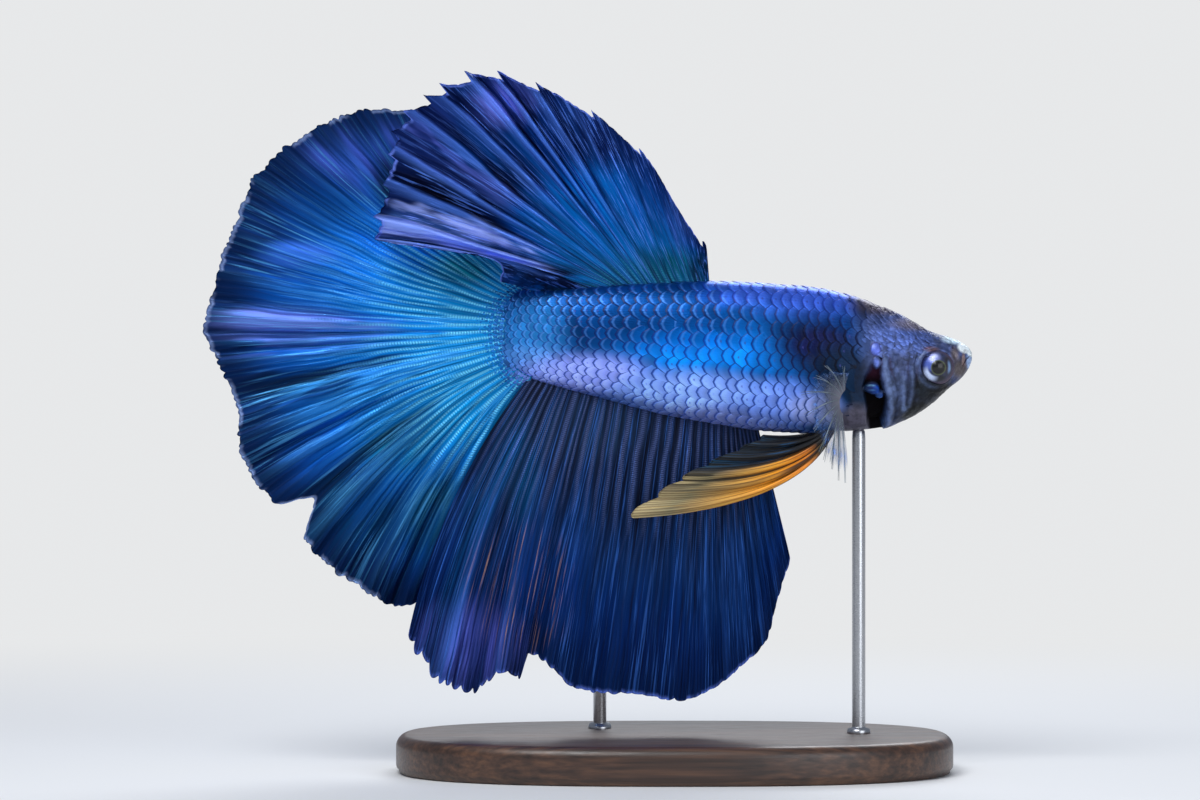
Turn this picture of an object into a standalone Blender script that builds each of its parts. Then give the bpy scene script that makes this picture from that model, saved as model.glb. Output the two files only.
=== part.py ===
"""A life-size halfmoon betta, posed broadside with its fins spread, on a plain display stand.

The frame: +X points to the snout, +Z up, and -Y to the fish's right side. The origin is on the floor
under the fish. Every number below is in millimetres, and MM turns it into metres when a mesh is made.
"""

import math

import bmesh
import bpy
import numpy as np

MM = 0.001
GAP = 0.3

# The body's stations: x, height of the back, of the belly, of the widest line, half width there.
BODY = (
    (-8.35, 41.0, 37.6, 39.3, 0.55),
    (-8.1, 41.9, 36.7, 39.3, 0.75),
    (-7.4, 42.8, 35.95, 39.3, 0.95),
    (-5.8, 43.55, 35.4, 39.4, 1.25),
    (-3.2, 43.45, 34.65, 39.3, 1.65),
    (1.7, 43.7, 33.35, 39.0, 2.35),
    (6.9, 44.0, 32.0, 38.6, 2.95),
    (10.9, 44.1, 31.3, 38.2, 3.35),
    (15.6, 43.9, 30.6, 37.8, 3.65),
    (19.9, 43.55, 30.4, 37.3, 3.75),
    (23.1, 42.9, 30.6, 36.8, 3.65),
    (26.4, 41.75, 31.0, 36.5, 3.4),
    (28.5, 40.75, 31.7, 36.5, 3.1),
    (30.7, 39.5, 33.1, 36.7, 2.6),
    (32.2, 39.05, 34.45, 37.0, 2.1),
    (33.3, 38.6, 35.35, 37.1, 1.5),
    (34.0, 38.1, 36.3, 37.2, 0.85),
    (34.25, 37.7, 36.9, 37.3, 0.35),
)
BODY_SIDES = 24
ROUNDNESS = 0.86

HEAD_JOIN = 25.0
STALK_JOIN = -3.0

# The lower jaw is what lies ahead of and below these two planes of the mouth, seen from the side.
MOUTH_TIP = (34.6, 37.65)
MOUTH_CORNER = (32.9, 37.0)
JAW_HINGE = (31.3, 32.9)

EYE = {"x": 30.95, "z": 36.35, "y": 1.78, "radius": 1.62, "depth": 1.12}

GILL_COVER = {"x": 26.55, "z": 35.3, "half_length": 1.85, "half_height": 3.45, "lean": -0.17}
GILL_COVER_THICK = 0.55
GILL_COVER_FLARE = 0.45

# Each fin edge: x of the ray's root, then x and z of its tip, from the fin's first ray to its last.
DORSAL_EDGE = (
    (10.7, 10.4, 46.6),
    (9.9, 7.9, 50.6),
    (9.1, 5.2, 54.9),
    (7.6, 1.2, 58.6),
    (6.4, -3.3, 61.0),
    (5.1, -9.3, 62.7),
    (4.1, -14.6, 60.3),
    (3.4, -17.4, 57.3),
    (2.6, -18.2, 51.8),
    (1.7, -17.0, 48.2),
    (0.6, -13.0, 46.9),
    (-1.2, -9.4, 46.4),
    (-3.0, -7.6, 45.5),
)
ANAL_EDGE = (
    (15.0, 17.9, 19.0),
    (14.1, 16.7, 15.0),
    (13.3, 16.0, 11.9),
    (12.3, 13.4, 9.2),
    (11.2, 11.5, 7.5),
    (9.8, 8.1, 6.4),
    (7.3, 4.1, 6.9),
    (2.8, -1.3, 7.4),
    (1.2, -3.8, 9.7),
    (0.1, -5.4, 10.7),
    (-0.6, -6.5, 8.6),
    (-1.8, -8.0, 9.0),
    (-2.7, -10.5, 7.6),
    (-3.7, -13.4, 8.7),
    (-4.9, -16.0, 12.6),
)
# The tail fin: angle round its middle, and how far out the edge is.
TAIL_MIDDLE = (-7.75, 39.25)
TAIL_EDGE = (
    (112.0, 21.8),
    (125.0, 24.0),
    (150.0, 26.3),
    (165.0, 26.2),
    (180.0, 26.4),
    (195.0, 24.8),
    (206.0, 25.8),
    (216.0, 25.2),
    (221.0, 22.6),
    (227.0, 25.6),
    (245.0, 26.1),
    (257.0, 23.6),
)
TAIL_ROOT = {"x": -4.95, "z": 39.35, "reach": 3.75, "height": 4.75, "first": 98.0, "last": 252.0}
TAIL_BEND = 0.66

# Each paired fin: root, where the ray bends, tip, from its first ray to its last.
PELVIC_RAYS = (
    ((21.9, 1.1, 29.9), (18.6, 1.9, 23.7), (3.4, 3.0, 22.9)),
    ((21.7, 1.1, 29.9), (18.4, 1.8, 25.0), (6.6, 2.8, 25.4)),
    ((21.4, 1.1, 29.9), (18.2, 1.8, 27.0), (9.5, 2.6, 27.3)),
    ((21.1, 1.1, 29.9), (18.2, 1.7, 28.6), (13.4, 2.3, 29.0)),
    ((20.7, 1.1, 29.9), (18.8, 1.5, 29.7), (15.8, 2.0, 30.0)),
)
PECTORAL_RAYS = (
    ((22.6, 3.9, 34.4), (22.9, 4.7, 36.0), (23.4, 5.0, 36.6)),
    ((22.4, 4.0, 34.1), (21.8, 4.9, 35.9), (20.3, 5.6, 36.6)),
    ((22.2, 4.1, 33.7), (20.8, 5.1, 34.6), (18.4, 6.2, 34.4)),
    ((22.1, 4.0, 33.3), (20.6, 5.2, 32.6), (18.9, 6.6, 30.8)),
    ((22.1, 3.8, 32.8), (21.2, 5.1, 30.8), (20.4, 6.5, 28.3)),
    ((22.2, 3.6, 32.4), (22.1, 4.8, 29.8), (21.8, 6.0, 26.2)),
    ((22.4, 3.4, 32.1), (22.8, 4.4, 29.8), (22.9, 5.4, 26.0)),
)

FIN_ROOT_THICK = 0.62
FIN_EDGE_THICK = 0.52

STAND = {"x": 7.5, "length": 50.0, "width": 34.0, "height": 3.4, "corner": 2.4}
STAND_EDGE_ROUND = 0.8
ROD_RADIUS = 0.75
FRONT_ROD_X = 24.1
REAR_ROD_X = 0.8
REAR_ROD_FOOT_Y = 6.2
REAR_ROD_HEAD_Y = 2.0

COLOURS = {
    "body": (0.10, 0.16, 0.52),
    "head": (0.21, 0.23, 0.38),
    "gill": (0.24, 0.27, 0.48),
    "fin": (0.02, 0.10, 0.46),
    "tail": (0.03, 0.22, 0.58),
    "pelvic": (0.85, 0.42, 0.06),
    "clear": (0.42, 0.47, 0.60),
    "eye": (0.03, 0.03, 0.04),
    "base": (0.05, 0.045, 0.04),
    "rod": (0.60, 0.60, 0.60),
}


def clear_scene():
    for obj in list(bpy.data.objects):
        bpy.data.objects.remove(obj, do_unlink=True)


def material(name, colour, roughness, metallic=0.0):
    """A plain Principled material in one colour."""
    made = bpy.data.materials.new(name)
    made.use_nodes = True
    made.diffuse_color = (*colour, 1.0)
    shader = made.node_tree.nodes["Principled BSDF"]
    shader.inputs["Base Color"].default_value = (*colour, 1.0)
    shader.inputs["Roughness"].default_value = roughness
    shader.inputs["Metallic"].default_value = metallic
    return made


def spline(knots, column, x):
    """A smooth curve through one column of the knots, with no overshoot between them."""
    xs = np.array([knot[0] for knot in knots], float)
    ys = np.array([knot[column] for knot in knots], float)
    x = np.clip(np.asarray(x, float), xs[0], xs[-1])
    step = np.diff(xs)
    slope = np.diff(ys) / step
    tangent = np.concatenate([slope[:1], (slope[:-1] + slope[1:]) / 2, slope[-1:]])
    for i in range(1, len(xs) - 1):
        before = slope[i - 1]
        after = slope[i]
        if before * after <= 0:
            tangent[i] = 0.0
        else:
            tangent[i] = 2 * before * after / (before + after)
    i = np.clip(np.searchsorted(xs, x) - 1, 0, len(xs) - 2)
    t = (x - xs[i]) / step[i]
    return (
        ys[i] * (2 * t**3 - 3 * t**2 + 1)
        + ys[i + 1] * (3 * t**2 - 2 * t**3)
        + tangent[i] * step[i] * (t**3 - 2 * t**2 + t)
        + tangent[i + 1] * step[i] * (t**3 - t**2)
    )


def smoothstep(low, high, x):
    t = np.clip((np.asarray(x, float) - low) / (high - low), 0.0, 1.0)
    return t * t * (3 - 2 * t)


def ring(x, sides=BODY_SIDES):
    """One cross-section of the body, as points round it from its left side."""
    back, belly, middle, half = (float(spline(BODY, i, x)) for i in (1, 2, 3, 4))
    angles = np.arange(sides) * 2 * math.pi / sides
    across = np.cos(angles)
    up = np.sin(angles)
    y = half * np.sign(across) * np.abs(across) ** ROUNDNESS
    z = middle + np.where(up > 0, back - middle, middle - belly) * up
    return np.column_stack([np.full(sides, x), y, z])


def half_width(x, z):
    """How far the body's side is from the middle plane, at one place seen from the side."""
    back, belly, middle, half = (float(spline(BODY, i, x)) for i in (1, 2, 3, 4))
    reach = (back - middle) if z > middle else (middle - belly)
    up = min(abs(z - middle) / reach, 0.999)
    return half * (1 - up * up) ** (ROUNDNESS / 2)


def mesh_object(name, points, faces, paint, smooth=True):
    """An object from points in millimetres and faces, with its faces turned outwards."""
    mesh = bpy.data.meshes.new(name)
    mesh.from_pydata((np.asarray(points, float) * MM).tolist(), [], [list(f) for f in faces])
    work = bmesh.new()
    work.from_mesh(mesh)
    bmesh.ops.recalc_face_normals(work, faces=work.faces)
    if work.calc_volume(signed=True) < 0:
        bmesh.ops.reverse_faces(work, faces=work.faces)
    work.to_mesh(mesh)
    work.free()
    for polygon in mesh.polygons:
        polygon.use_smooth = smooth
    obj = bpy.data.objects.new(name, mesh)
    bpy.context.scene.collection.objects.link(obj)
    if paint is not None:
        mesh.materials.append(paint)
    return obj


def tube(rings):
    """Points and faces of a closed skin through rings of equal size, with a cap on each end."""
    count = len(rings[0])
    points = [np.asarray(r) for r in rings]
    faces = []
    for i in range(len(rings) - 1):
        for j in range(count):
            k = (j + 1) % count
            faces.append((i * count + j, i * count + k, (i + 1) * count + k, (i + 1) * count + j))
    points.append(np.mean(points[0], axis=0, keepdims=True))
    points.append(np.mean(points[-2], axis=0, keepdims=True))
    first = len(rings) * count
    last = (len(rings) - 1) * count
    for j in range(count):
        k = (j + 1) % count
        faces.append((first, k, j))
        faces.append((first + 1, last + j, last + k))
    return np.concatenate(points), faces


def loft(name, start, end, steps, paint, bunch=0.0):
    """The body between two stations. bunch above 0 puts the cross-sections closer at the end."""
    t = np.linspace(0.0, 1.0, steps)
    t = (1 - bunch) * t + bunch * (1 - (1 - t) ** 2)
    points, faces = tube([ring(start + (end - start) * s) for s in t])
    return mesh_object(name, points, faces, paint)


def ellipsoid(name, centre, radii, paint, around=16, rows=8):
    """A closed ellipsoid with its poles on the Y axis."""
    points = [(centre[0], centre[1] - radii[1], centre[2])]
    for i in range(1, rows):
        polar = math.pi * i / rows
        for j in range(around):
            turn = 2 * math.pi * j / around
            points.append(
                (
                    centre[0] + radii[0] * math.sin(polar) * math.cos(turn),
                    centre[1] - radii[1] * math.cos(polar),
                    centre[2] + radii[2] * math.sin(polar) * math.sin(turn),
                )
            )
    points.append((centre[0], centre[1] + radii[1], centre[2]))
    faces = []
    for j in range(around):
        k = (j + 1) % around
        faces.append((0, 1 + k, 1 + j))
        bottom = 1 + (rows - 2) * around
        faces.append((len(points) - 1, bottom + j, bottom + k))
        for i in range(rows - 2):
            a = 1 + i * around
            b = a + around
            faces.append((a + j, a + k, b + k, b + j))
    return mesh_object(name, points, faces, paint)


def prism(name, outline, depth):
    """A cutter: an outline seen from the side, standing across the whole body."""
    count = len(outline)
    points = [(x, -depth, z) for x, z in outline] + [(x, depth, z) for x, z in outline]
    faces = [tuple(range(count)), tuple(range(2 * count - 1, count - 1, -1))]
    for i in range(count):
        k = (i + 1) % count
        faces.append((i, k, count + k, count + i))
    return mesh_object(name, points, faces, None, smooth=False)


def cut(obj, tool, operation="DIFFERENCE"):
    """Applies one exact Boolean, and keeps the tool out of the model."""
    tool.hide_render = True
    tool.display_type = "WIRE"
    change = obj.modifiers.new(tool.name, "BOOLEAN")
    change.operation = operation
    change.solver = "EXACT"
    change.object = tool
    graph = bpy.context.evaluated_depsgraph_get()
    result = bpy.data.meshes.new_from_object(obj.evaluated_get(graph))
    obj.modifiers.clear()
    paint = list(obj.data.materials)
    obj.data = result
    obj.data.materials.clear()
    for slot in paint:
        obj.data.materials.append(slot)


def drop(*objects):
    for obj in objects:
        bpy.data.objects.remove(obj, do_unlink=True)


def sheet(name, middle, thickness, paint):
    """A closed fin from its middle surface, an array of ray by step by xyz, and its thickness."""
    rays, steps, _ = middle.shape
    along = np.gradient(middle, axis=1)
    across = np.gradient(middle, axis=0)
    normal = np.cross(across, along)
    normal /= np.linalg.norm(normal, axis=2, keepdims=True)
    offset = normal * thickness[..., None] / 2
    points = np.concatenate([(middle + offset).reshape(-1, 3), (middle - offset).reshape(-1, 3)])
    back = rays * steps
    faces = []
    for i in range(rays - 1):
        for j in range(steps - 1):
            a = i * steps + j
            b = a + steps
            faces.append((a, b, b + 1, a + 1))
            faces.append((back + a, back + a + 1, back + b + 1, back + b))
    rim = [i * steps for i in range(rays)]
    rim += [(rays - 1) * steps + j for j in range(1, steps)]
    rim += [i * steps + steps - 1 for i in range(rays - 2, -1, -1)]
    rim += [j for j in range(steps - 2, 0, -1)]
    for i, a in enumerate(rim):
        b = rim[(i + 1) % len(rim)]
        faces.append((a, back + a, back + b, b))
    return mesh_object(name, points, faces, paint)


def edge_order(tips):
    """Where each control ray lies between the first and the last, by the length of the fin's edge."""
    steps = np.linalg.norm(np.diff(np.asarray(tips, float), axis=0), axis=1)
    total = np.concatenate([[0.0], np.cumsum(steps)])
    return total / total[-1]


def saw(phase, sharp=1.6):
    """Ray tips that rise slowly and drop at once, from 0 to 1."""
    return (phase % 1.0) ** sharp


def scallop(phase):
    """Rounded lobes with a notch between each two, from 0 to 1."""
    return np.abs(np.sin(math.pi * phase))


def rays_in_plane(roots, bends, tips, steps):
    """Curved rays from roots to tips in the fish's middle plane, as ray by step by x and z."""
    t = np.linspace(0.0, 1.0, steps)[None, :, None]
    return (1 - t) ** 2 * roots[:, None] + 2 * t * (1 - t) * bends[:, None] + t**2 * tips[:, None]


def fin_thickness(rays, steps):
    t = np.linspace(0.0, 1.0, steps)
    return np.tile(FIN_ROOT_THICK + (FIN_EDGE_THICK - FIN_ROOT_THICK) * t, (rays, 1))


def with_sway(flat, sway):
    """The fin's middle surface, with its sideways folds added to the flat rays."""
    return np.stack([flat[..., 0], sway, flat[..., 1]], axis=2)


def dorsal_fin(paint, rays=43, steps=7, teeth=11, tooth=1.0):
    u = np.linspace(0.0, 1.0, rays)
    order = edge_order([row[1:] for row in DORSAL_EDGE])
    knots = [(o, *row) for o, row in zip(order, DORSAL_EDGE)]
    root_x, tip_x, tip_z = (spline(knots, i, u) for i in (1, 2, 3))
    roots = np.column_stack([root_x, spline(BODY, 1, root_x) + GAP])
    tips = np.column_stack([tip_x, tip_z])
    ray = tips - roots
    reach = np.linalg.norm(ray, axis=1, keepdims=True)
    tips = tips + ray / reach * (tooth * saw(teeth * u**1.35) * smoothstep(0.0, 0.06, 1 - u))[:, None]
    upward = np.array([0.0, 1.0]) * smoothstep(0.15, 0.8, u)[:, None]
    bends = roots + 0.5 * ray + upward * reach * 0.05
    flat = rays_in_plane(roots, bends, tips, steps)
    t = np.linspace(0.0, 1.0, steps)[None, :]
    rear = smoothstep(0.45, 0.95, u)[:, None]
    sway = -3.0 * rear * t - 0.9 * t**2 + 0.75 * t * np.sin(2 * math.pi * 6.5 * u)[:, None]
    return sheet("dorsal_fin", with_sway(flat, sway), fin_thickness(rays, steps), paint)


def anal_fin(paint, rays=46, steps=7, teeth=20, tooth=0.3):
    u = np.linspace(0.0, 1.0, rays)
    order = edge_order([row[1:] for row in ANAL_EDGE])
    knots = [(o, *row) for o, row in zip(order, ANAL_EDGE)]
    root_x, tip_x, tip_z = (spline(knots, i, u) for i in (1, 2, 3))
    roots = np.column_stack([root_x, spline(BODY, 2, root_x) - GAP])
    tips = np.column_stack([tip_x, tip_z])
    ray = tips - roots
    reach = np.linalg.norm(ray, axis=1, keepdims=True)
    tips = tips + ray / reach * (tooth * scallop(teeth * u))[:, None]
    rear = smoothstep(0.55, 1.0, u)[:, None]
    bends = roots + 0.5 * ray + np.array([-2.2, 1.1]) * rear
    flat = rays_in_plane(roots, bends, tips, steps)
    t = np.linspace(0.0, 1.0, steps)[None, :]
    sway = -2.6 * rear * t**1.2 + 0.7 * t * np.sin(2 * math.pi * 8 * u)[:, None]
    return sheet("anal_fin", with_sway(flat, sway), fin_thickness(rays, steps), paint)


def tail_fin(paint, rays=49, steps=7, lobes=16, lobe=0.5):
    u = np.linspace(0.0, 1.0, rays)
    first, last = TAIL_EDGE[0][0], TAIL_EDGE[-1][0]
    angle = first + (last - first) * u
    reach = spline(TAIL_EDGE, 1, angle) + lobe * (scallop(lobes * u) - 0.5)
    middle = np.array(TAIL_MIDDLE)
    turn = np.radians(angle)
    tips = middle + reach[:, None] * np.column_stack([np.cos(turn), np.sin(turn)])
    start = np.radians(TAIL_ROOT["first"] + (TAIL_ROOT["last"] - TAIL_ROOT["first"]) * u)
    roots = np.column_stack(
        [
            TAIL_ROOT["x"] + TAIL_ROOT["reach"] * np.cos(start),
            TAIL_ROOT["z"] + TAIL_ROOT["height"] * np.sin(start),
        ]
    )
    ray = tips - roots
    length = np.linalg.norm(ray, axis=1)
    heading = np.arctan2(ray[:, 1], ray[:, 0]) % (2 * math.pi)
    leaving = math.pi + TAIL_BEND * (heading - math.pi)
    bends = roots + 0.42 * length[:, None] * np.column_stack([np.cos(leaving), np.sin(leaving)])
    flat = rays_in_plane(roots, bends, tips, steps)
    t = np.linspace(0.0, 1.0, steps)[None, :]
    high = 1 - smoothstep(0.0, 0.42, u)
    low = smoothstep(0.74, 1.0, u)
    folds = 0.75 * np.sin(2 * math.pi * 8 * u)
    sway = (2.6 * high + 3.4 * low + folds)[:, None] * t
    return sheet("tail_fin", with_sway(flat, sway), fin_thickness(rays, steps), paint)


def paired_fin(name, control, side, rays, steps, paint):
    """A fin on one side of the body, from its control rays. side is -1 on the right, 1 on the left."""
    control = np.array(control, float)
    place = np.linspace(0.0, 1.0, len(control))
    u = np.linspace(0.0, 1.0, rays)
    parts = []
    for part in range(3):
        columns = []
        for axis in range(3):
            knots = list(zip(place, control[:, part, axis]))
            columns.append(spline(knots, 1, u))
        parts.append(np.column_stack(columns))
    t = np.linspace(0.0, 1.0, steps)[None, :, None]
    root, bend, tip = (part[:, None] for part in parts)
    middle = (1 - t) ** 2 * root + 2 * t * (1 - t) * bend + t**2 * tip
    middle[..., 1] *= side
    return sheet(name, middle, fin_thickness(rays, steps), paint)


def gill_cover(name, side, paint, grow=0.0, tool=False, around=18, rows=3):
    """The plate over one gill. grow widens it and tool thickens it, for the recess it sits in."""
    lift = 2.0 if tool else 0.0
    sink = GAP if tool else 0.0
    cover = GILL_COVER
    half_length = cover["half_length"] + grow
    half_height = cover["half_height"] + grow
    outer = []
    inner = []
    for i in range(rows + 1):
        for j in range(1 if i == 0 else around):
            turn = 2 * math.pi * j / around
            x = half_length * i / rows * math.cos(turn)
            z = half_height * i / rows * math.sin(turn)
            at_x = cover["x"] + x + cover["lean"] * z
            at_z = cover["z"] + z
            rear = max(0.0, -x / half_length)
            y = half_width(at_x, at_z) + GILL_COVER_FLARE * rear * rear
            outer.append((at_x, side * (y + lift), at_z))
            inner.append((at_x, side * (y - GILL_COVER_THICK - sink), at_z))
    points = outer + inner
    back = len(outer)
    faces = []
    for j in range(around):
        k = (j + 1) % around
        faces.append((0, 1 + j, 1 + k))
        faces.append((back, back + 1 + k, back + 1 + j))
        for i in range(rows - 1):
            a = 1 + i * around
            b = a + around
            faces.append((a + j, b + j, b + k, a + k))
            faces.append((back + a + j, back + a + k, back + b + k, back + b + j))
        edge = 1 + (rows - 1) * around
        faces.append((edge + j, back + edge + j, back + edge + k, edge + k))
    return mesh_object(name, points, faces, paint)


def body_parts(paints):
    """The head with its jaw, eyes and gill covers, the trunk and the tail stalk."""
    head = loft("head", HEAD_JOIN + GAP / 2, BODY[-1][0], 17, paints["head"], bunch=0.75)
    jaw = loft("lower_jaw", JAW_HINGE[0] - 0.4, BODY[-1][0], 11, paints["head"], bunch=0.6)
    trunk = loft("trunk", STALK_JOIN + GAP / 2, HEAD_JOIN - GAP / 2, 17, paints["body"])
    loft("tail_stalk", STALK_JOIN - GAP / 2, BODY[0][0], 7, paints["body"], bunch=0.7)

    half = GAP / 2
    front = [(MOUTH_TIP[0] + 3, MOUTH_TIP[1]), (JAW_HINGE[0] + 6, JAW_HINGE[1] - 4)]
    jaw_side = prism(
        "jaw_side",
        [
            (MOUTH_TIP[0] + 3, MOUTH_TIP[1] - half),
            (MOUTH_TIP[0], MOUTH_TIP[1] - half),
            (MOUTH_CORNER[0] + half, MOUTH_CORNER[1] - half),
            (JAW_HINGE[0] + half, JAW_HINGE[1] - half),
            (JAW_HINGE[0] + half, JAW_HINGE[1] - 4),
            front[1],
        ],
        6.0,
    )
    head_side = prism(
        "head_side",
        [
            (MOUTH_TIP[0] + 3, MOUTH_TIP[1] + half),
            (MOUTH_TIP[0], MOUTH_TIP[1] + half),
            (MOUTH_CORNER[0] - half, MOUTH_CORNER[1] + half),
            (JAW_HINGE[0] - half, JAW_HINGE[1] + half),
            (JAW_HINGE[0] - half, JAW_HINGE[1] - 4),
            front[1],
        ],
        6.0,
    )
    cut(jaw, jaw_side, "INTERSECT")
    cut(head, head_side)
    drop(jaw_side, head_side)

    for side, word in ((-1, "right"), (1, "left")):
        gill_cover(f"gill_cover_{word}", side, paints["gill"])
        recess = gill_cover("recess", side, None, grow=GAP, tool=True)
        cut(head, recess)
        cut(trunk, recess)
        drop(recess)
        centre = (EYE["x"], side * EYE["y"], EYE["z"])
        radii = (EYE["radius"], EYE["depth"], EYE["radius"])
        ellipsoid(f"eye_{word}", centre, radii, paints["eye"])
        socket = ellipsoid("socket", centre, tuple(r + GAP for r in radii), None)
        cut(head, socket)
        drop(socket)


def disc(name, outline, height, lift, paint):
    """A flat-bottomed slab with its top edge rounded off."""
    outline = np.asarray(outline, float)
    middle = outline.mean(axis=0)
    levels = [(0.0, 0.0)]
    for i in range(5):
        turn = math.pi / 2 * i / 4
        inset = STAND_EDGE_ROUND * (1 - math.cos(turn))
        levels.append((inset, height - STAND_EDGE_ROUND * (1 - math.sin(turn))))
    rings = []
    for inset, z in levels:
        reach = np.linalg.norm(outline - middle, axis=1, keepdims=True)
        shrunk = middle + (outline - middle) * (1 - inset / reach)
        rings.append(np.column_stack([shrunk, np.full(len(outline), lift + z)]))
    points, faces = tube(rings)
    return mesh_object(name, points, faces, paint)


def rod(name, foot, head, radius, paint, sides=16):
    """A round rod between two points."""
    foot, head = np.array(foot, float), np.array(head, float)
    axis = (head - foot) / np.linalg.norm(head - foot)
    first = np.cross(axis, (1.0, 0.0, 0.0))
    first /= np.linalg.norm(first)
    second = np.cross(axis, first)
    turns = np.arange(sides) * 2 * math.pi / sides
    around = radius * (np.cos(turns)[:, None] * first + np.sin(turns)[:, None] * second)
    points, faces = tube([foot + around, head + around])
    return mesh_object(name, points, faces, paint)


def stand(paints):
    """An oval base, flat underneath, and two rods up to the belly and the flank."""
    turns = np.arange(48) * 2 * math.pi / 48
    outline = np.column_stack(
        [
            STAND["x"] + STAND["length"] / 2 * np.sign(np.cos(turns)) * np.abs(np.cos(turns)) ** 0.8,
            STAND["width"] / 2 * np.sign(np.sin(turns)) * np.abs(np.sin(turns)) ** 0.8,
        ]
    )
    disc("stand_base", outline, STAND["height"], 0.0, paints["base"])
    foot = STAND["height"] + GAP
    belly = float(spline(BODY, 2, FRONT_ROD_X))
    rod(
        "stand_rod_front",
        (FRONT_ROD_X, 0.0, foot),
        (FRONT_ROD_X, 0.0, belly - GAP),
        ROD_RADIUS,
        paints["rod"],
    )
    flank = float(spline(BODY, 2, REAR_ROD_X))
    rod(
        "stand_rod_rear",
        (REAR_ROD_X, REAR_ROD_FOOT_Y, foot),
        (REAR_ROD_X, REAR_ROD_HEAD_Y, flank + GAP),
        ROD_RADIUS,
        paints["rod"],
    )


def main():
    clear_scene()
    bpy.context.scene.unit_settings.system = "METRIC"
    rough = {"eye": 0.1, "rod": 0.3, "base": 0.5}
    metal = {"rod": 1.0}
    paints = {
        name: material(name, colour, rough.get(name, 0.4), metal.get(name, 0.0))
        for name, colour in COLOURS.items()
    }
    body_parts(paints)
    dorsal_fin(paints["fin"])
    anal_fin(paints["fin"])
    tail_fin(paints["tail"])
    for side, word in ((-1, "right"), (1, "left")):
        paired_fin(f"pelvic_fin_{word}", PELVIC_RAYS, side, 9, 8, paints["pelvic"])
        paired_fin(f"pectoral_fin_{word}", PECTORAL_RAYS, side, 10, 5, paints["clear"])
    stand(paints)


main()
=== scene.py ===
"""The looks of a life-size halfmoon betta on its display stand.

One skin covers the head, trunk and tail stalk, with overlapping scales over it as thin solid plates.
Each fin is a thin solid sheet with folds, ray ridges and a frayed edge. Lengths are in millimetres,
with +X to the snout, +Z up and -Y to the fish's right, and MM turns them into metres.
"""

import functools
import math
import bpy
import numpy as np
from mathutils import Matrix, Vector


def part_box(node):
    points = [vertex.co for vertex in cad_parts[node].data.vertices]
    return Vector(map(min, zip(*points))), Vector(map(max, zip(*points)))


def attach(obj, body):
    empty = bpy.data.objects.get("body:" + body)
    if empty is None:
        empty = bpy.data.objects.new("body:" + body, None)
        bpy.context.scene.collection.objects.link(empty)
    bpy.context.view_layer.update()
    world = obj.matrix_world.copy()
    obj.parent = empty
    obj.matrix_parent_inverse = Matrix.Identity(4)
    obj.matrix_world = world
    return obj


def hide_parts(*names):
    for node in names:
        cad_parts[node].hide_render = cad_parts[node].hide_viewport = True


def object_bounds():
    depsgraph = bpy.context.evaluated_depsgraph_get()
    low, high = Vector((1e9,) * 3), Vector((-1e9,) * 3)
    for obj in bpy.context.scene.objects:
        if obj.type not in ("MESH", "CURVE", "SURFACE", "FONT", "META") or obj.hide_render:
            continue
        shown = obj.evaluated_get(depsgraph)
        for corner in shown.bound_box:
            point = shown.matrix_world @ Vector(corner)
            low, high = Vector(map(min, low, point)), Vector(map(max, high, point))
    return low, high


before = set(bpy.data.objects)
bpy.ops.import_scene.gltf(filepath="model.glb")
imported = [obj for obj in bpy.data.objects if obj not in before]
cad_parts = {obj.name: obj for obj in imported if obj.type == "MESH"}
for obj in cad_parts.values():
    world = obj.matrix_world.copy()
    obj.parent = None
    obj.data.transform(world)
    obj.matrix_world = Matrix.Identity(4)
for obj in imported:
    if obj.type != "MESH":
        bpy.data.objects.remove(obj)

CAD_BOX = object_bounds()
MM = 0.001
MODEL_MIDDLE = 0.0, 0.0, 36.0
ORIGIN = 0.0, 0.0, 0.0
FAR = 1000.0
FINE = 1.0
FLOAT, VECTOR, COLOUR = "NodeSocketFloat", "NodeSocketVector", "NodeSocketColor"

# The body from tail root to lips: x, back, belly, height of the widest line, and half the width.
BODY = (
    (-8.35, 41, 37.6, 39.3, 0.22), (-8.1, 41.9, 36.7, 39.3, 0.42), (-7.4, 42.8, 35.95, 39.3, 0.74),
    (-5.8, 43.55, 35.4, 39.4, 1.17), (-3.2, 43.45, 34.65, 39.3, 1.63), (1.7, 43.7, 33.35, 39, 2.35),
    (6.9, 44, 32, 38.6, 2.95), (10.9, 44.1, 31.3, 38.2, 3.35), (15.6, 43.9, 30.6, 37.8, 3.65),
    (19.9, 43.55, 30.4, 37.3, 3.75), (23.1, 42.9, 30.6, 36.8, 3.65), (26.4, 41.75, 31, 36.5, 3.4),
    (28.5, 40.75, 31.7, 36.5, 3.1), (30.7, 39.5, 33.1, 36.7, 2.6), (32.2, 39.05, 34.45, 37, 2.1),
    (33.3, 38.6, 35.35, 37.1, 1.5), (34, 38.1, 36.3, 37.2, 0.85), (34.25, 37.7, 36.9, 37.3, 0.35),
)
BACK, BELLY, WIDEST, HALF_WIDTH = 1, 2, 3, 4

# Below 1 the body's section is fuller than an oval. HEAD_FROM is where the skin's finer rings start,
# COAT_END is how far the scales' surface goes, and COAT_DEPTH is how far under them the skin lies.
ROUNDNESS = 0.86
TAIL_END, SNOUT = BODY[0][0], BODY[-1][0]
HEAD_FROM = 24
COAT_END, COAT_DEPTH = 31.5, 0.12

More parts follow.
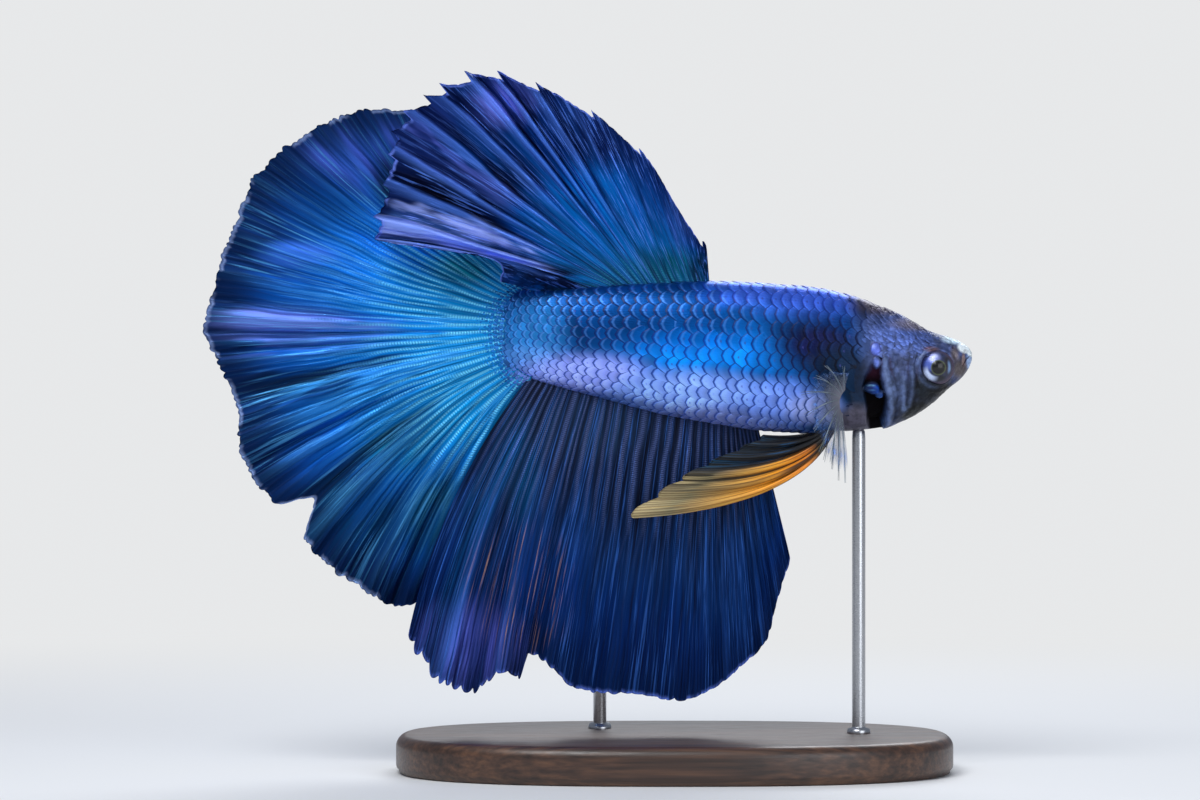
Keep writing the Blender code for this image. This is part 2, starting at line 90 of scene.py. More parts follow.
# The fins' outlines from their first ray to their last: x of the root, then x and z of the tip.
DORSAL_EDGE = (
    (10.7, 10.4, 46.6), (9.9, 7.9, 50.4), (9.1, 5.2, 54.6), (7.6, 1.2, 58.2), (6.4, -3.3, 60.7),
    (5.1, -9.3, 62.4), (4.1, -14.6, 60), (3.4, -17.2, 57.2), (2.6, -18.1, 51.8), (2.2, -19, 47.9),
    (1.6, -14, 46.9), (0.4, -9.6, 46.2), (-2.2, -7.9, 45.3), (-4.6, -7.6, 43.8),
)
ANAL_EDGE = (
    (15, 17.9, 19.2), (14.1, 16.6, 15), (13.3, 15.8, 12), (12.3, 13.2, 9.3), (11.2, 11.3, 7.7),
    (9.8, 8.1, 6.5), (7.3, 4.1, 7), (2.8, -1.3, 7.5), (1.2, -3.8, 9.8), (0.1, -5.4, 10.9),
    (-0.6, -6.5, 8.8), (-1.8, -8, 9.3), (-2.7, -10.5, 7.8), (-3.7, -13.4, 8.9), (-5.4, -16.2, 12.8),
)
FIN_INSET = 0.45

# A fin's extra thickness at its root, its number of raised rays, and how soon the root thins.
FIN_MEMBRANE, TAIL_MEMBRANE = (0.4, 30, 0.05), (0.95, 22, 0.045)

# The ends of the dorsal fin's teeth along its edge, and of its pleats, 0 to 1 from front to rear.
DORSAL_TEETH = (
    -0.16, 0.01, 0.18, 0.275, 0.366, 0.427, 0.478, 0.517, 0.545, 0.583, 0.62, 0.655, 0.7, 0.745, 0.8, 0.845,
    0.9, 0.95, 1.01,
)
DORSAL_PLEATS = -0.2, 0.17, 0.3, 0.365, 0.43, 0.47, 0.525, 0.575, 0.64, 0.685, 0.74, 0.79, 0.86, 0.93, 1.2

# The tail fin's edge, as angle and reach round its middle, and the arc that its rays leave from. Then
# how far the rays bend on their way out, and how long most of them are.
TAIL_MIDDLE = -7.75, 39.25
TAIL_EDGE = (
    (112, 21.8), (125, 24.1), (150, 26.3), (165, 26.2), (180, 26.5), (195, 24.9),
    (206, 25.8), (216, 25.4), (220.5, 22.6), (226, 25.4), (245, 26.1), (257, 23.6),
)
TAIL_ROOT_MIDDLE, TAIL_ROOT_REACH, TAIL_ROOT_ANGLES = (-4.95, 39.35), (2.85, 3.75), (96, 264)
TAIL_BEND, TAIL_REACH = 0.66, 25

# The folds of the tail fin: the angle of each valley, how wide it is in degrees, and how deep.
TAIL_FOLDS = (
    (127, 2, 0.30), (138, 1.2, 0.15), (144, 2.4, 0.32), (157, 1.3, 0.15), (164, 2, 0.25), (173, 1.3, 0.30),
    (179, 1, 0.50), (183, 0.9, 0.20), (193, 4.4, 0.55), (200, 0.9, 0.20), (208, 1.4, 0.50), (214, 0.8, 0.15),
    (221, 2.8, 0.50), (230, 1, 0.20), (238, 1.6, 0.35), (247, 1.2, 0.30), (254, 1.6, 0.35),
)

# The paired fins, from first ray to last: the root, where the ray bends, and the tip.
PELVIC_RAYS = (
    ((21.9, 1, 30.6), (18.6, 1.9, 23.7), (3.35, 3, 22.85)),
    ((21.7, 1, 30.6), (18.4, 1.8, 25), (6.6, 2.8, 25.3)),
    ((21.4, 1, 30.6), (18.2, 1.8, 27), (9.5, 2.6, 27.2)),
    ((21.1, 1, 30.6), (18.2, 1.7, 28.6), (13.2, 2.3, 29)),
    ((20.5, 1, 30.6), (18.8, 1.5, 29.9), (15.6, 2, 30.2)),
)
PECTORAL_RAYS = (
    ((22.6, 3.3, 34.4), (22.9, 4.6, 35.7), (23.3, 4.9, 36.6)),
    ((22.4, 3.4, 34.1), (21.8, 4.8, 35.7), (20.5, 5.6, 36.5)),
    ((22.2, 3.4, 33.7), (20.8, 5, 34.6), (18.4, 6.2, 34.2)),
    ((22.1, 3.3, 33.3), (20.6, 5.1, 32.6), (18.9, 6.6, 30.8)),
    ((22.1, 3.2, 32.8), (21.2, 5, 30.8), (20.4, 6.5, 28.4)),
    ((22.2, 3, 32.4), (22.1, 4.7, 29.8), (21.8, 6, 26.1)),
    ((22.4, 2.8, 32.1), (22.8, 4.3, 29.8), (22.9, 5.4, 25.9)),
)

# Places on the head, as heights and the x there, or the gap's width there.
GILL_EDGE = (
    (30.4, 26), (31, 26.25), (32.3, 26.5), (33.2, 26.48), (34.7, 26.12), (36.2, 25.92), (37.3, 26.05),
    (38.5, 26.1),
)
GILL_GAP = (
    (30.4, 0.9), (31, 1.5), (32.3, 2), (33.2, 2.05), (34.7, 1.85), (36, 1.45), (36.9, 1), (37.5, 0.2),
)
SCALE_LIMIT = (
    (30, 22.2), (31.6, 22.8), (33, 23.3), (36, 23.4), (38, 24.6), (40, 25.3), (41.5, 25.9),
    (43, 26.6),
)
NOSTRIL = 32.45, 38.08

# Ridges and grooves of the face: the line in x and z, its half width, how far it stands up, how much
# painted shade darkens it, as in the grooves, and how pale it is.
FACE_LINES = (
    (((26.2, 37), (26.4, 35.3), (26.75, 34), (26.85, 32.6), (26.6, 31.3)), 0.25, 0.10, 0, 0.8),
    (((26.6, 37.3), (26.85, 36), (27.36, 34.5), (27.4, 32.4), (27.1, 31.5)), 0.12, -0.09, 0.50, 0),
    (((26.8, 37.75), (27.3, 36.5), (27.72, 35.1)), 0.15, 0.06, 0, 0.14),
    (((27.9, 35.4), (27.94, 34.2), (28.02, 32.6)), 0.17, 0.07, 0, 0.85),
    (((28.36, 36.8), (28.36, 34), (28.22, 32.6)), 0.07, -0.05, 0.35, 0),
    (((28.74, 36.3), (28.7, 34), (28.48, 32.8)), 0.14, 0.05, 0, 0.45),
    (((29.16, 36.2), (29.1, 34), (28.8, 32.6)), 0.13, -0.06, 0.35, 0),
    (((34.6, 37.5), (34.1, 37.4), (33.72, 37), (33.48, 36.45)), 0.06, -0.17, 0.8, 0),
    (((34.45, 37.2), (34.05, 36.95), (33.85, 36.5)), 0.12, 0.05, 0, 0.12),
    (((33.62, 37.9), (33.3, 37.3), (33.2, 36.5)), 0.10, -0.07, 0.25, 0),
    (((32.25, 38.75), (33.3, 38.4), (34.2, 37.75)), 0.28, 0.07, 0, 0.3),
    (((28, 38.6), (29.2, 38.9), (30.3, 38.5)), 0.12, -0.04, 0.25, 0),
    (((26.2, 38.6), (27.3, 38.1), (28.2, 37.3)), 0.10, -0.05, 0.3, 0),
    (((30.2, 34.7), (31.2, 34.55), (32.1, 35)), 0.10, -0.04, 0.25, 0),
)

# Rounded lobes behind the gill cover: middle in x and z, reach along and up, and how far they stand up.
FACE_LOBES = (
    ((25.42, 37.95), (0.48, 0.62), 0.14), ((25.52, 36.7), (0.42, 0.6), 0.16),
    ((25.10, 34.4), (0.76, 0.58), 0.24), ((25.75, 33.85), (0.5, 0.38), 0.08),
)

# Rings round the eye: how far out in eye radii, half width, and how far they stand up.
EYE_RINGS = (0.97, 0.09, 0.11), (1.2, 0.08, -0.05), (1.36, 0.08, 0.04)

# The scales: rows on each flank, the step along a row, and how far round to the belly the rows reach.
# Then the length of the small ones, how soft the head's and the belly's look, and one scale's grid.
SCALE_ROWS, SCALE_PITCH, FLANK_REACH = 12, 1.1, 0.955
SMALL_SCALE, HEAD_SOFT, BELLY_SOFT = 0.46, 1, 0.3
SCALE_ACROSS = np.array([-1, -0.72, -0.36, 0, 0.36, 0.72, 1])
SCALE_ALONG = np.array([0, 0.35, 0.62, 0.82, 0.93, 1])


def rgb(red, green, blue):
    """A colour given as screen values from 0 to 255, as the shaders' linear values."""
    parts = np.array([red, green, blue]) / 255.0
    linear = np.where(parts <= 0.04045, parts / 12.92, ((parts + 0.055) / 1.055) ** 2.4)
    return (*linear.tolist(), 1.0)


PALE = 0.8, 0.81, 0.82, 1
NAVY = rgb(4, 26, 66)
LAVENDER = rgb(104, 132, 232)
TRUNK, FACE = rgb(4, 76, 146), rgb(66, 80, 126)

# Soft areas of colour: middle in x and z, reach along, up and maybe sideways, colour and softness.
BODY_ZONES = (
    ((-12, 39), (5, 9), rgb(8, 124, 206), 0.7), ((-5.2, 39.2), (4.4, 4.4), rgb(94, 154, 232), 0.8),
    ((20.5, 43.2), (10.5, 3.6), rgb(62, 98, 210), 0.8), ((12.4, 43.2), (4.4, 2), rgb(74, 108, 224), 0.8),
    ((9.8, 37.6), (11.5, 3.3), rgb(10, 140, 250), 0.95), ((-0.5, 35.7), (8, 2.6), rgb(142, 160, 250), 0.7),
    ((8.4, 34), (10, 2.8), rgb(132, 168, 255), 0.7), ((10, 31), (11, 2.6), rgb(146, 166, 250), 0.8),
    ((17, 33.2), (5.6, 2.8), rgb(112, 146, 236), 0.8), ((20.4, 38.4), (7, 4), rgb(10, 16, 58), 0.8),
    ((22.6, 36), (4.8, 3.6), rgb(7, 26, 50), 0.7), ((20, 32.6), (3.6, 1.9), rgb(142, 158, 220), 0.7),
    ((24, 34.2), (2, 2.6), rgb(10, 34, 60), 0.5), ((23.8, 31.3), (2.6, 2.2), rgb(78, 76, 92), 0.5),
    ((24.4, 35.4), (1.5, 2.4), rgb(7, 26, 52), 0.6),
)
HEAD_ZONES = (
    ((27.9, 39.2), (3.7, 2.1), rgb(86, 108, 178), 0.8), ((26, 41.9), (5.2, 1.2), rgb(84, 78, 96), 0.7),
    # The dark zones at 30, 34.4 and at 29.6, 32.2 and 31.6, 34.2 are darkened as painted shade under the head.
    ((29.6, 40.2), (3.8, 0.95), rgb(124, 118, 136), 0.8), ((30, 34.4), (3, 2.6), rgb(22, 30, 40), 0.8),
    ((27, 34.2), (1.3, 3), rgb(72, 88, 128), 0.7), ((29.6, 32.2), (3.8, 2.1), rgb(22, 25, 28), 0.7),
    ((31.6, 34.2), (2, 1.5), rgb(20, 21, 26), 0.8), ((33.1, 36.2), (1.2, 1.4), rgb(88, 82, 86), 0.7),
    ((32.6, 37.5), (0.6, 1.1), rgb(100, 92, 100), 0.8), ((33.42, 37), (0.24, 1), rgb(124, 106, 106), 0.7),
    ((34.1, 37), (0.5, 1.2), rgb(148, 174, 216), 0.5), ((32.6, 38.8), (1.7, 0.62, 3.2), rgb(206, 232, 250), 0.6),
    ((33.65, 38.15), (1.05, 0.72, 3.4), rgb(240, 251, 255), 0.35),
    ((34.2, 37.85), (0.55, 0.65), rgb(240, 251, 255), 0.3), ((30.45, 37.95), (1, 0.36), rgb(112, 84, 96), 0.8),
    ((25.4, 37.95), (0.60, 0.74), rgb(92, 110, 205), 0.5), ((25.26, 38.2), (0.30, 0.34), rgb(130, 148, 232), 0.9),
    ((25.46, 36.75), (0.36, 0.56), rgb(96, 116, 196), 0.7), ((25.12, 34.35), (0.9, 0.6), rgb(16, 66, 176), 0.4),
    ((24.95, 34.7), (0.62, 0.14), rgb(130, 196, 255), 0.7), ((25.05, 34.28), (0.52, 0.10), rgb(90, 160, 255), 0.7),
    ((25.85, 33.85), (0.6, 0.26), rgb(22, 36, 90), 0.6),
)

# The fins' looks. rays, beads, fork and wander shape the rays; bands_dark, grooves and fold (valley,
# crest) say how strong the painted shade and painted highlight are; deep tints the painted shade, and
# streak is the painted highlight's colour. Tones with a number go by their strength. stops run from
# root to edge. zones are soft areas as above, and threads_at is where the bright threads lie. bands
# are strips along the rays: middle and half width across them, from and to along them, colour, strength.
FIN_LOOKS = {
    "tail_fin_web": {
        "rays": 24, "beads": 95, "fork": 0.2, "wander": 2, "relief": 0.6, "bead_reach": 0.85,
        "bands_dark": 0.55, "grooves": 0.25, "fold": (0.5, 0.35),
        "deep": (0.06, 0.36, 0.36, 1), "streak": rgb(84, 170, 234), "pearl": (rgb(112, 208, 244), 0.95),
        "edge": (NAVY, 0.8), "rim": (rgb(150, 174, 228), 0.35),
        "stops": (
            (0, rgb(8, 134, 214)), (0.16, rgb(0, 140, 216)), (0.4, rgb(0, 134, 230)),
            (0.62, rgb(4, 108, 216)), (0.8, rgb(14, 78, 170)), (0.95, rgb(8, 44, 100)),
        ),
        "zones": (
            ((-27, 40.4), (9, 2.4), rgb(84, 112, 206), 0.8), ((-20.5, 55.5), (10, 4.5), rgb(64, 92, 196), 0.85),
            ((-18.5, 48), (9, 3.4), rgb(10, 124, 255), 0.9), ((-26.5, 46.5), (5, 1.6), rgb(60, 116, 230), 0.8),
            ((-25, 34.6), (9, 2.6), rgb(4, 44, 84), 0.8), ((-24.5, 51), (5, 4.5), rgb(4, 44, 100), 0.8),
            ((-11.5, 45.2), (4.5, 2.5), rgb(0, 112, 140), 0.8), ((-13, 38), (6, 2.6), rgb(10, 150, 236), 0.8),
            ((-12.5, 32.5), (4.5, 5), rgb(2, 150, 226), 0.8), ((-28.5, 31.2), (4, 3), rgb(4, 50, 100), 0.8),
            # The first zone on the next line is a painted shadow that the dorsal fin casts on the tail.
            ((-18, 53.4), (2.6, 4.5), rgb(2, 14, 50), 0.8), ((-17.5, 30), (6, 5), rgb(6, 104, 152), 0.8),
            ((-13.5, 22.5), (5.5, 7), rgb(8, 80, 118), 0.8), ((-21.5, 23.5), (7, 6), rgb(6, 60, 104), 0.8),
        ),
        "bands": (
            # The dark bands at 0.555 and 0.755 are painted shade along two of the fold valleys.
            (0.555, 0.028, 0.35, 1.2, rgb(4, 26, 60), 0.75), (0.60, 0.025, 0.1, 0.9, rgb(60, 160, 250), 0.6),
            (0.755, 0.03, 0.3, 1.2, rgb(4, 36, 76), 0.7), (0.47, 0.025, 0.35, 1.25, rgb(110, 124, 214), 0.5),
        ),
    },
    "dorsal_fin_web": {
        "rays": 26, "beads": 80, "fork": 0.25, "wander": 4, "relief": 0.4, "bead_reach": 0.2,
        "bands_dark": 0.45, "grooves": 0.1, "fold": (1, 0.6),
        "deep": (0.06, 0.13, 0.2, 1), "streak": rgb(92, 140, 250), "pearl": (rgb(60, 150, 190), 0.4),
        "edge": (rgb(8, 30, 90), 0.3), "rim": (LAVENDER, 0.7),
        "stops": (
            (0, rgb(4, 72, 106)), (0.2, rgb(4, 94, 164)), (0.5, rgb(8, 80, 164)), (0.75, rgb(6, 54, 126)),
            (0.95, rgb(10, 44, 110)),
        ),
        "zones": (
            ((-0.5, 50.5), (6, 6.5), rgb(0, 106, 196), 0.85), ((8.2, 51), (2, 5.5), rgb(56, 92, 176), 0.8),
            ((7, 45.6), (4.5, 2.4), rgb(0, 76, 100), 0.8), ((-8, 60), (4, 3), rgb(98, 112, 214), 0.8),
            ((-14.5, 58), (3.5, 3.5), rgb(52, 66, 150), 0.8), ((-15, 52.8), (5.6, 3), rgb(1, 10, 44), 0.6),
            ((-8.8, 52.8), (5.6, 3), rgb(1, 20, 64), 0.7), ((1, 57), (6, 4), rgb(3, 26, 80), 0.8),
            # The second zone on the next line is painted shade under the rear fold, near the fin's root.
            ((9.8, 45), (1.6, 2.4), rgb(2, 30, 54), 0.8), ((-4.6, 45), (5, 0.9), rgb(3, 14, 40), 0.5),
        ),
        "bands": (
            (0.615, 0.035, 0.45, 1.20, rgb(92, 112, 216), 0.5), (0.69, 0.065, 0.42, 1.25, rgb(3, 18, 60), 0.9),
            # The lilac band at 0.80 is partly the fin's own lilac and partly a painted highlight on the rear fold,
            # and the dark one at 0.96 is painted shade on the fold's underside.
            (0.80, 0.10, 0.24, 1.25, rgb(158, 178, 255), 1), (0.96, 0.06, -0.2, 0.8, rgb(3, 16, 52), 1),
            (0.90, 0.012, -0.2, 0.9, rgb(70, 110, 200), 0.8),
        ),
    },
    "anal_fin_web": {
        "rays": 34, "beads": 150, "fork": 0.42, "wander": 2.2, "relief": 0.55, "bead_reach": 0.7,
        "bands_dark": 0.4, "grooves": 0.35, "fold": (0.6, 0.35),
        "deep": (0.06, 0.13, 0.2, 1), "streak": rgb(58, 112, 206), "pearl": (rgb(86, 102, 156), 0.55),
        "threads_at": ((-6.5, 16.5), (6, 7.5)), "threads": (rgb(158, 112, 52), 0.7),
        "edge": (NAVY, 0.4), "rim": (LAVENDER, 0.3),
        "stops": (
            (0, rgb(20, 28, 50)), (0.3, rgb(12, 32, 66)), (0.5, rgb(6, 44, 96)), (0.75, rgb(4, 42, 106)),
            (0.95, rgb(4, 32, 84)),
        ),
        "zones": (
            ((-11, 11), (6.4, 6), rgb(100, 112, 222), 0.85), ((12, 16), (4.5, 8), rgb(10, 46, 100), 0.9),
            ((5, 11), (9, 6), rgb(2, 30, 84), 0.9), ((-6.5, 27.5), (2.6, 7), rgb(0, 66, 112), 0.8),
            ((0, 31), (9, 4), rgb(28, 50, 80), 0.8),
        ),
        "bands": ((0.93, 0.05, 0.15, 1.3, rgb(2, 70, 124), 0.6),),
    },
}
PELVIC_GOLD = (
    (0, rgb(20, 18, 26)), (0.16, rgb(30, 20, 18)), (0.27, rgb(235, 138, 40)), (0.5, rgb(244, 164, 40)),
    (0.7, rgb(204, 154, 72)), (0.88, rgb(140, 132, 100)), (0.97, rgb(176, 160, 118)),
)
PELVIC_DUSK = (
    (0, rgb(16, 18, 26)), (0.35, rgb(4, 9, 18)), (0.7, rgb(5, 18, 32)), (1, rgb(30, 52, 64)),
)
WEB_STOPS = (
    (0, rgb(112, 112, 124)), (0.4, rgb(98, 108, 128)), (0.75, rgb(76, 104, 160)), (1, rgb(70, 92, 130)),
)

# The eye's tones, laid over each other in order: the ring each keeps to, from and to, or none, then
# its middle from the eye's own, its reach, its softness and its colour.
EYE_TONES = (
    (None, (-0.75, 0.35), (0.9, 1), 0.7, rgb(84, 104, 186)),
    # The next two, pale patches at the upper left, are partly the eye's own blue and partly a painted reflection.
    (None, (-0.3, 0.86), (0.85, 0.62), 0.8, rgb(142, 152, 218)),
    (None, (-0.22, 0.98), (0.4, 0.28), 0.9, rgb(196, 204, 250)),
    (None, (0.95, 0.2), (0.62, 1.3), 0.7, rgb(44, 42, 50)),
    (None, (0.25, -1), (0.8, 0.5), 0.7, rgb(26, 28, 38)),
    ((0.94, 1.44), (-0.8, -0.78), (1.05, 1), 0.7, rgb(200, 216, 252)),
    ((1.1, 1.34), (1.2, 0), (0.45, 0.9), 0.7, rgb(112, 140, 184)),
    (None, (0.1, -0.05), (0.74, 0.75), 0.2, rgb(86, 94, 62)),
    (None, (0.1, -0.05), (0.66, 0.67), 0.2, rgb(18, 20, 22)),
    (None, (0.08, -0.05), (0.54, 0.56), 0.14, rgb(4, 4, 7)),
)


# ---------------------------------------------------------------- curves and small helpers
def node_box(name):
    """The middle and the half size of one part of the plain model, in millimetres."""
    low, high = np.array(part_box(name), float) / MM
    return (low + high) / 2, (high - low) / 2


def spline(knots, x, column=1):
    """A smooth curve through one column of the knots, with no overshoot between them."""
    xs, ys = (np.array([knot[i] for knot in knots], float) for i in (0, column))
    x = np.clip(np.asarray(x, float), xs[0], xs[-1])
    step = np.diff(xs)
    slope = np.diff(ys) / step
    before, after = slope[:-1], slope[1:]
    level = before * after <= 0
    inner = np.where(level, 0.0, 2 * before * after / np.where(level, 1.0, before + after))
    tangent = np.concatenate([slope[:1], inner, slope[-1:]])
    i = np.clip(np.searchsorted(xs, x) - 1, 0, len(xs) - 2)
    t = (x - xs[i]) / step[i]
    rise = 3 * t ** 2 - 2 * t ** 3
    bend = tangent[i] * (t ** 3 - 2 * t ** 2 + t) + tangent[i + 1] * (t ** 3 - t ** 2)
    return ys[i] * (1 - rise) + ys[i + 1] * rise + step[i] * bend


def smoothstep(low, high, x):
    t = np.clip((np.asarray(x, float) - low) / (high - low), 0.0, 1.0)
    return t * t * (3 - 2 * t)


def bell(distance, width):
    """1 on a line, falling smoothly to 0 a few widths away."""
    return np.exp(-(np.asarray(distance) / width) ** 2)


def unit(vectors):
    """The vectors brought to a length of 1."""
    return vectors / np.maximum(np.linalg.norm(vectors, axis=-1, keepdims=True), 1e-9)


def line_distance(line, x, z):
    """The distance from each place to a line through points, seen from the side."""
    nearest = np.full(np.shape(x), np.inf)
    for (ax, az), (bx, bz) in zip(line, line[1:]):
        along_x, along_z = bx - ax, bz - az
        part = ((x - ax) * along_x + (z - az) * along_z) / (along_x ** 2 + along_z ** 2)
        part = np.clip(part, 0.0, 1.0)
        nearest = np.minimum(nearest, np.hypot(x - ax - part * along_x, z - az - part * along_z))
    return nearest


def wave_noise(x, y, seed, octaves=4):
    """Smooth repeatable noise made of turned sine waves, about -1 to 1."""
    chance = np.random.default_rng(seed)
    total = np.zeros(np.broadcast(x, y).shape)
    for octave in range(octaves):
        for _ in range(3):
            turn = chance.uniform(0, 2 * math.pi)
            shift = chance.uniform(0, 2 * math.pi)
            pace = 2 ** octave * chance.uniform(0.8, 1.25)
            total += np.sin(pace * (x * math.cos(turn) + y * math.sin(turn)) + shift) / 2 ** octave
    return total / 3.5


def ragged(u, count, seed):
    """Uneven lobes along an edge: 0 in the notches between them and up to 1 at their tips."""
    chance = np.random.default_rng(seed)
    places = np.concatenate([[0.0], np.cumsum(chance.uniform(0.55, 1.45, count))])
    places /= places[-1]
    height = chance.uniform(0.35, 1.0, count)
    i = np.clip(np.searchsorted(places, u, side="right") - 1, 0, count - 1)
    part = (u - places[i]) / (places[i + 1] - places[i])
    return height[i] * np.sin(math.pi * part) ** 0.6


# ---------------------------------------------------------------- meshes
def build_mesh(name, points, faces, material, maps=None, values=None, smooth=True):
    """A linked object from points in millimetres. maps holds UV maps, by point or by corner, and
    values holds one number for each point, each by name."""
    mesh = bpy.data.meshes.new(name)
    mesh.from_pydata((np.asarray(points, float) * MM).tolist(), [], faces)
    corner = np.empty(len(mesh.loops), np.int32)
    mesh.loops.foreach_get("vertex_index", corner)
    for map_name, places in (maps or {}).items():
        places = np.asarray(places, np.float32)
        by_corner = places if len(places) == len(corner) else places[corner]
        mesh.uv_layers.new(name=map_name).uv.foreach_set("vector", by_corner.ravel())
    for value_name, numbers in (values or {}).items():
        attribute = mesh.attributes.new(value_name, "FLOAT", "POINT")
        attribute.data.foreach_set("value", np.asarray(numbers, np.float32))
    mesh.polygons.foreach_set("use_smooth", [smooth] * len(mesh.polygons))
    mesh.materials.append(material)
    mesh.update()
    return link(bpy.data.objects.new(name, mesh))


def link(obj):
    """Puts an object in the scene."""
    bpy.context.scene.collection.objects.link(obj)
    return obj


def grid_faces(rows, columns, wrap=False, start=0, flip=False):
    """Quads of a grid of points laid row after row."""
    r = np.arange(rows - 1)[:, None]
    c = np.arange(columns if wrap else columns - 1)[None, :]
    a = start + r * columns + c
    b = start + r * columns + (c + 1) % columns
    quads = np.stack([a, a + columns, b + columns, b], axis=-1).reshape(-1, 4)
    return (quads[:, ::-1] if flip else quads).tolist()


def outline(rows, columns):
    """The points round the edge of a grid, in order from its first point down its first column."""
    last, end = (rows - 1) * columns, rows * columns - 1
    sides = range(0, last, columns), range(last, end), range(end, columns - 1, -columns), range(columns - 1, 0, -1)
    return [point for side in sides for point in side]


def closed_rings(rings, ends, flip=False):
    """Points and faces of a row of rings, each end of it closed round a point."""
    rows, sides, _ = rings.shape
    faces = grid_faces(rows, sides, wrap=True, flip=flip)
    first, last = rows * sides, (rows - 1) * sides
    for j in range(sides):
        k = (j + 1) % sides
        fans = (first, j, k), (first + 1, last + k, last + j)
        faces += [fan[::-1] if flip else fan for fan in fans]
    return np.concatenate([rings.reshape(-1, 3), ends]), faces


def surface_normals(points):
    """Unit normals of a grid surface, from its own slopes."""
    return unit(np.cross(np.gradient(points, axis=0), np.gradient(points, axis=1)))


def thin_solid(name, middle, thickness, place, material, fold=None):
    """A closed thin sheet round a middle surface. place holds each point's ray and step, 0 to 1.
    On its bake map the rim takes the colour of the near side's edge."""
    rays, steps, _ = middle.shape
    offset = surface_normals(middle) * thickness[..., None] / 2
    points = np.concatenate([(middle + offset).reshape(-1, 3), (middle - offset).reshape(-1, 3)])
    back = rays * steps
    faces = grid_faces(rays, steps, flip=True) + grid_faces(rays, steps, start=back)
    rim = outline(rays, steps)
    faces += [(a, back + a, back + b, b) for a, b in zip(rim, rim[1:] + rim[:1])]
    flat = place.reshape(-1, 2)
    half = flat * (1.0, 0.485) + (0.0, 0.0075)
    corner = np.array(faces)
    corner[-len(rim):] %= back
    bake = np.concatenate([half, half + (0.0, 0.5)])[corner.ravel()]
    values = {}
    if fold is not None:
        toward_right = np.where(offset[..., 1].ravel() < 0, fold.ravel(), -fold.ravel())
        values["fold"] = np.concatenate([toward_right, -toward_right])
    return build_mesh(name, points, faces, material, {"Rays": np.concatenate([flat] * 2), "OFBake": bake}, values)


def tube_mesh(path, radii, sides):
    """Points and faces of a round closed tube along a path."""
    heading = unit(np.gradient(path, axis=0))
    first = unit(np.cross(heading, (0.0, 1.0, 0.17)))
    second = np.cross(heading, first)
    turn = (np.arange(sides) * 2 * math.pi / sides)[None, :, None]
    ring = first[:, None] * np.cos(turn) + second[:, None] * np.sin(turn)
    points = (path[:, None] + ring * np.asarray(radii)[:, None, None]).reshape(-1, 3)
    last = (len(path) - 1) * sides
    caps = [range(sides), range(last + sides - 1, last - 1, -1)]
    return points, grid_faces(len(path), sides, wrap=True) + caps


def joined(parts):
    """Several lots of points and faces as one."""
    points, faces, start = [], [], 0
    for lot_points, lot_faces in parts:
        points.append(lot_points)
        faces.extend(tuple(i + start for i in face) for face in lot_faces)
        start += len(lot_points)
    return np.concatenate(points), faces


# ---------------------------------------------------------------- shader building
class Flow:
    """One output of a node. Sums done on it add the nodes that do them."""

    def __init__(self, socket):
        self.socket = socket
        self.tree = socket.id_data

    def maths(self, operation, other=0.0, turned=False):
        values = {0: other, 1: self} if turned else {0: self, 1: other}
        return add_node(self.tree, "Math", values, operation=operation)[0]

    def vector(self, operation, other=ORIGIN):
        return add_node(self.tree, "VectorMath", {0: self, 1: other}, operation=operation)

    def step(self, low, high, to_low=0.0, to_high=1.0):
        """A smooth step between two limits."""
        values = {"Value": self, "From Min": low, "From Max": high, "To Min": to_low, "To Max": to_high}
        return add_node(self.tree, "MapRange", values, interpolation_type="SMOOTHSTEP")[0]

    def noise(self, scale, detail, roughness=0.5):
        values = {"Vector": self, "Scale": scale, "Detail": detail, "Roughness": roughness}
        return add_node(self.tree, "TexNoise", values)["Fac"]

    def parts(self):
        """The three numbers of a place."""
        made = add_node(self.tree, "SeparateXYZ", {0: self})
        return made[0], made[1], made[2]

    def toned(self, value):
        """A colour made lighter or darker."""
        return add_node(self.tree, "HueSaturation", {"Value": value, "Color": self})[0]

    def tinted(self, colour):
        return mixed(1.0, self, colour, "MULTIPLY")


SUMS = {"add": "ADD", "sub": "SUBTRACT", "mul": "MULTIPLY", "truediv": "DIVIDE", "pow": "POWER", "abs": "ABSOLUTE"}
for sign, operation in SUMS.items():
    setattr(Flow, f"__{sign}__", functools.partialmethod(Flow.maths, operation))
    setattr(Flow, f"__r{sign}__", functools.partialmethod(Flow.maths, operation, turned=True))


class Made:
    """A node, whose outputs are read by name or number."""

    def __init__(self, node):
        self.node = node

    def __getitem__(self, key):
        return Flow(self.node.outputs[key])


def wire(node, values):
    """Each input takes another node's output or a plain value."""
    for key, value in values.items():
        if isinstance(value, Flow):
            node.id_data.links.new(value.socket, node.inputs[key])
        else:
            node.inputs[key].default_value = value


def add_node(tree, kind, values=(), **settings):
    node = tree.nodes.new("ShaderNode" + kind)
    for key, value in settings.items():
        setattr(node, key, value)
    wire(node, dict(values))
    return Made(node)


def mixed(factor, first, second, way="MIX"):
    """Two colours mixed."""
    tree = next(value.tree for value in (factor, first, second) if isinstance(value, Flow))
    values = {0: factor, 6: first, 7: second}
    return add_node(tree, "Mix", values, data_type="RGBA", blend_type=way)[2]


def ramp(value, stops):
    """A colour ramp through (place, colour) stops."""
    made = add_node(value.tree, "ValToRGB", {"Fac": value})
    elements = made.node.color_ramp.elements
    while len(elements) < len(stops):
        elements.new(0.5)
    for element, (place, colour) in zip(elements, stops):
        element.position, element.color = place, colour
    return made["Color"]


GROUPS = {}


def spaced(values):
    return {name.replace("_", " "): value for name, value in values.items()}


def use_group(tree, name, **values):
    """One of the shader groups. Its inputs are given by name, with _ for a space."""
    return add_node(tree, "Group", spaced(values), node_tree=GROUPS[name])


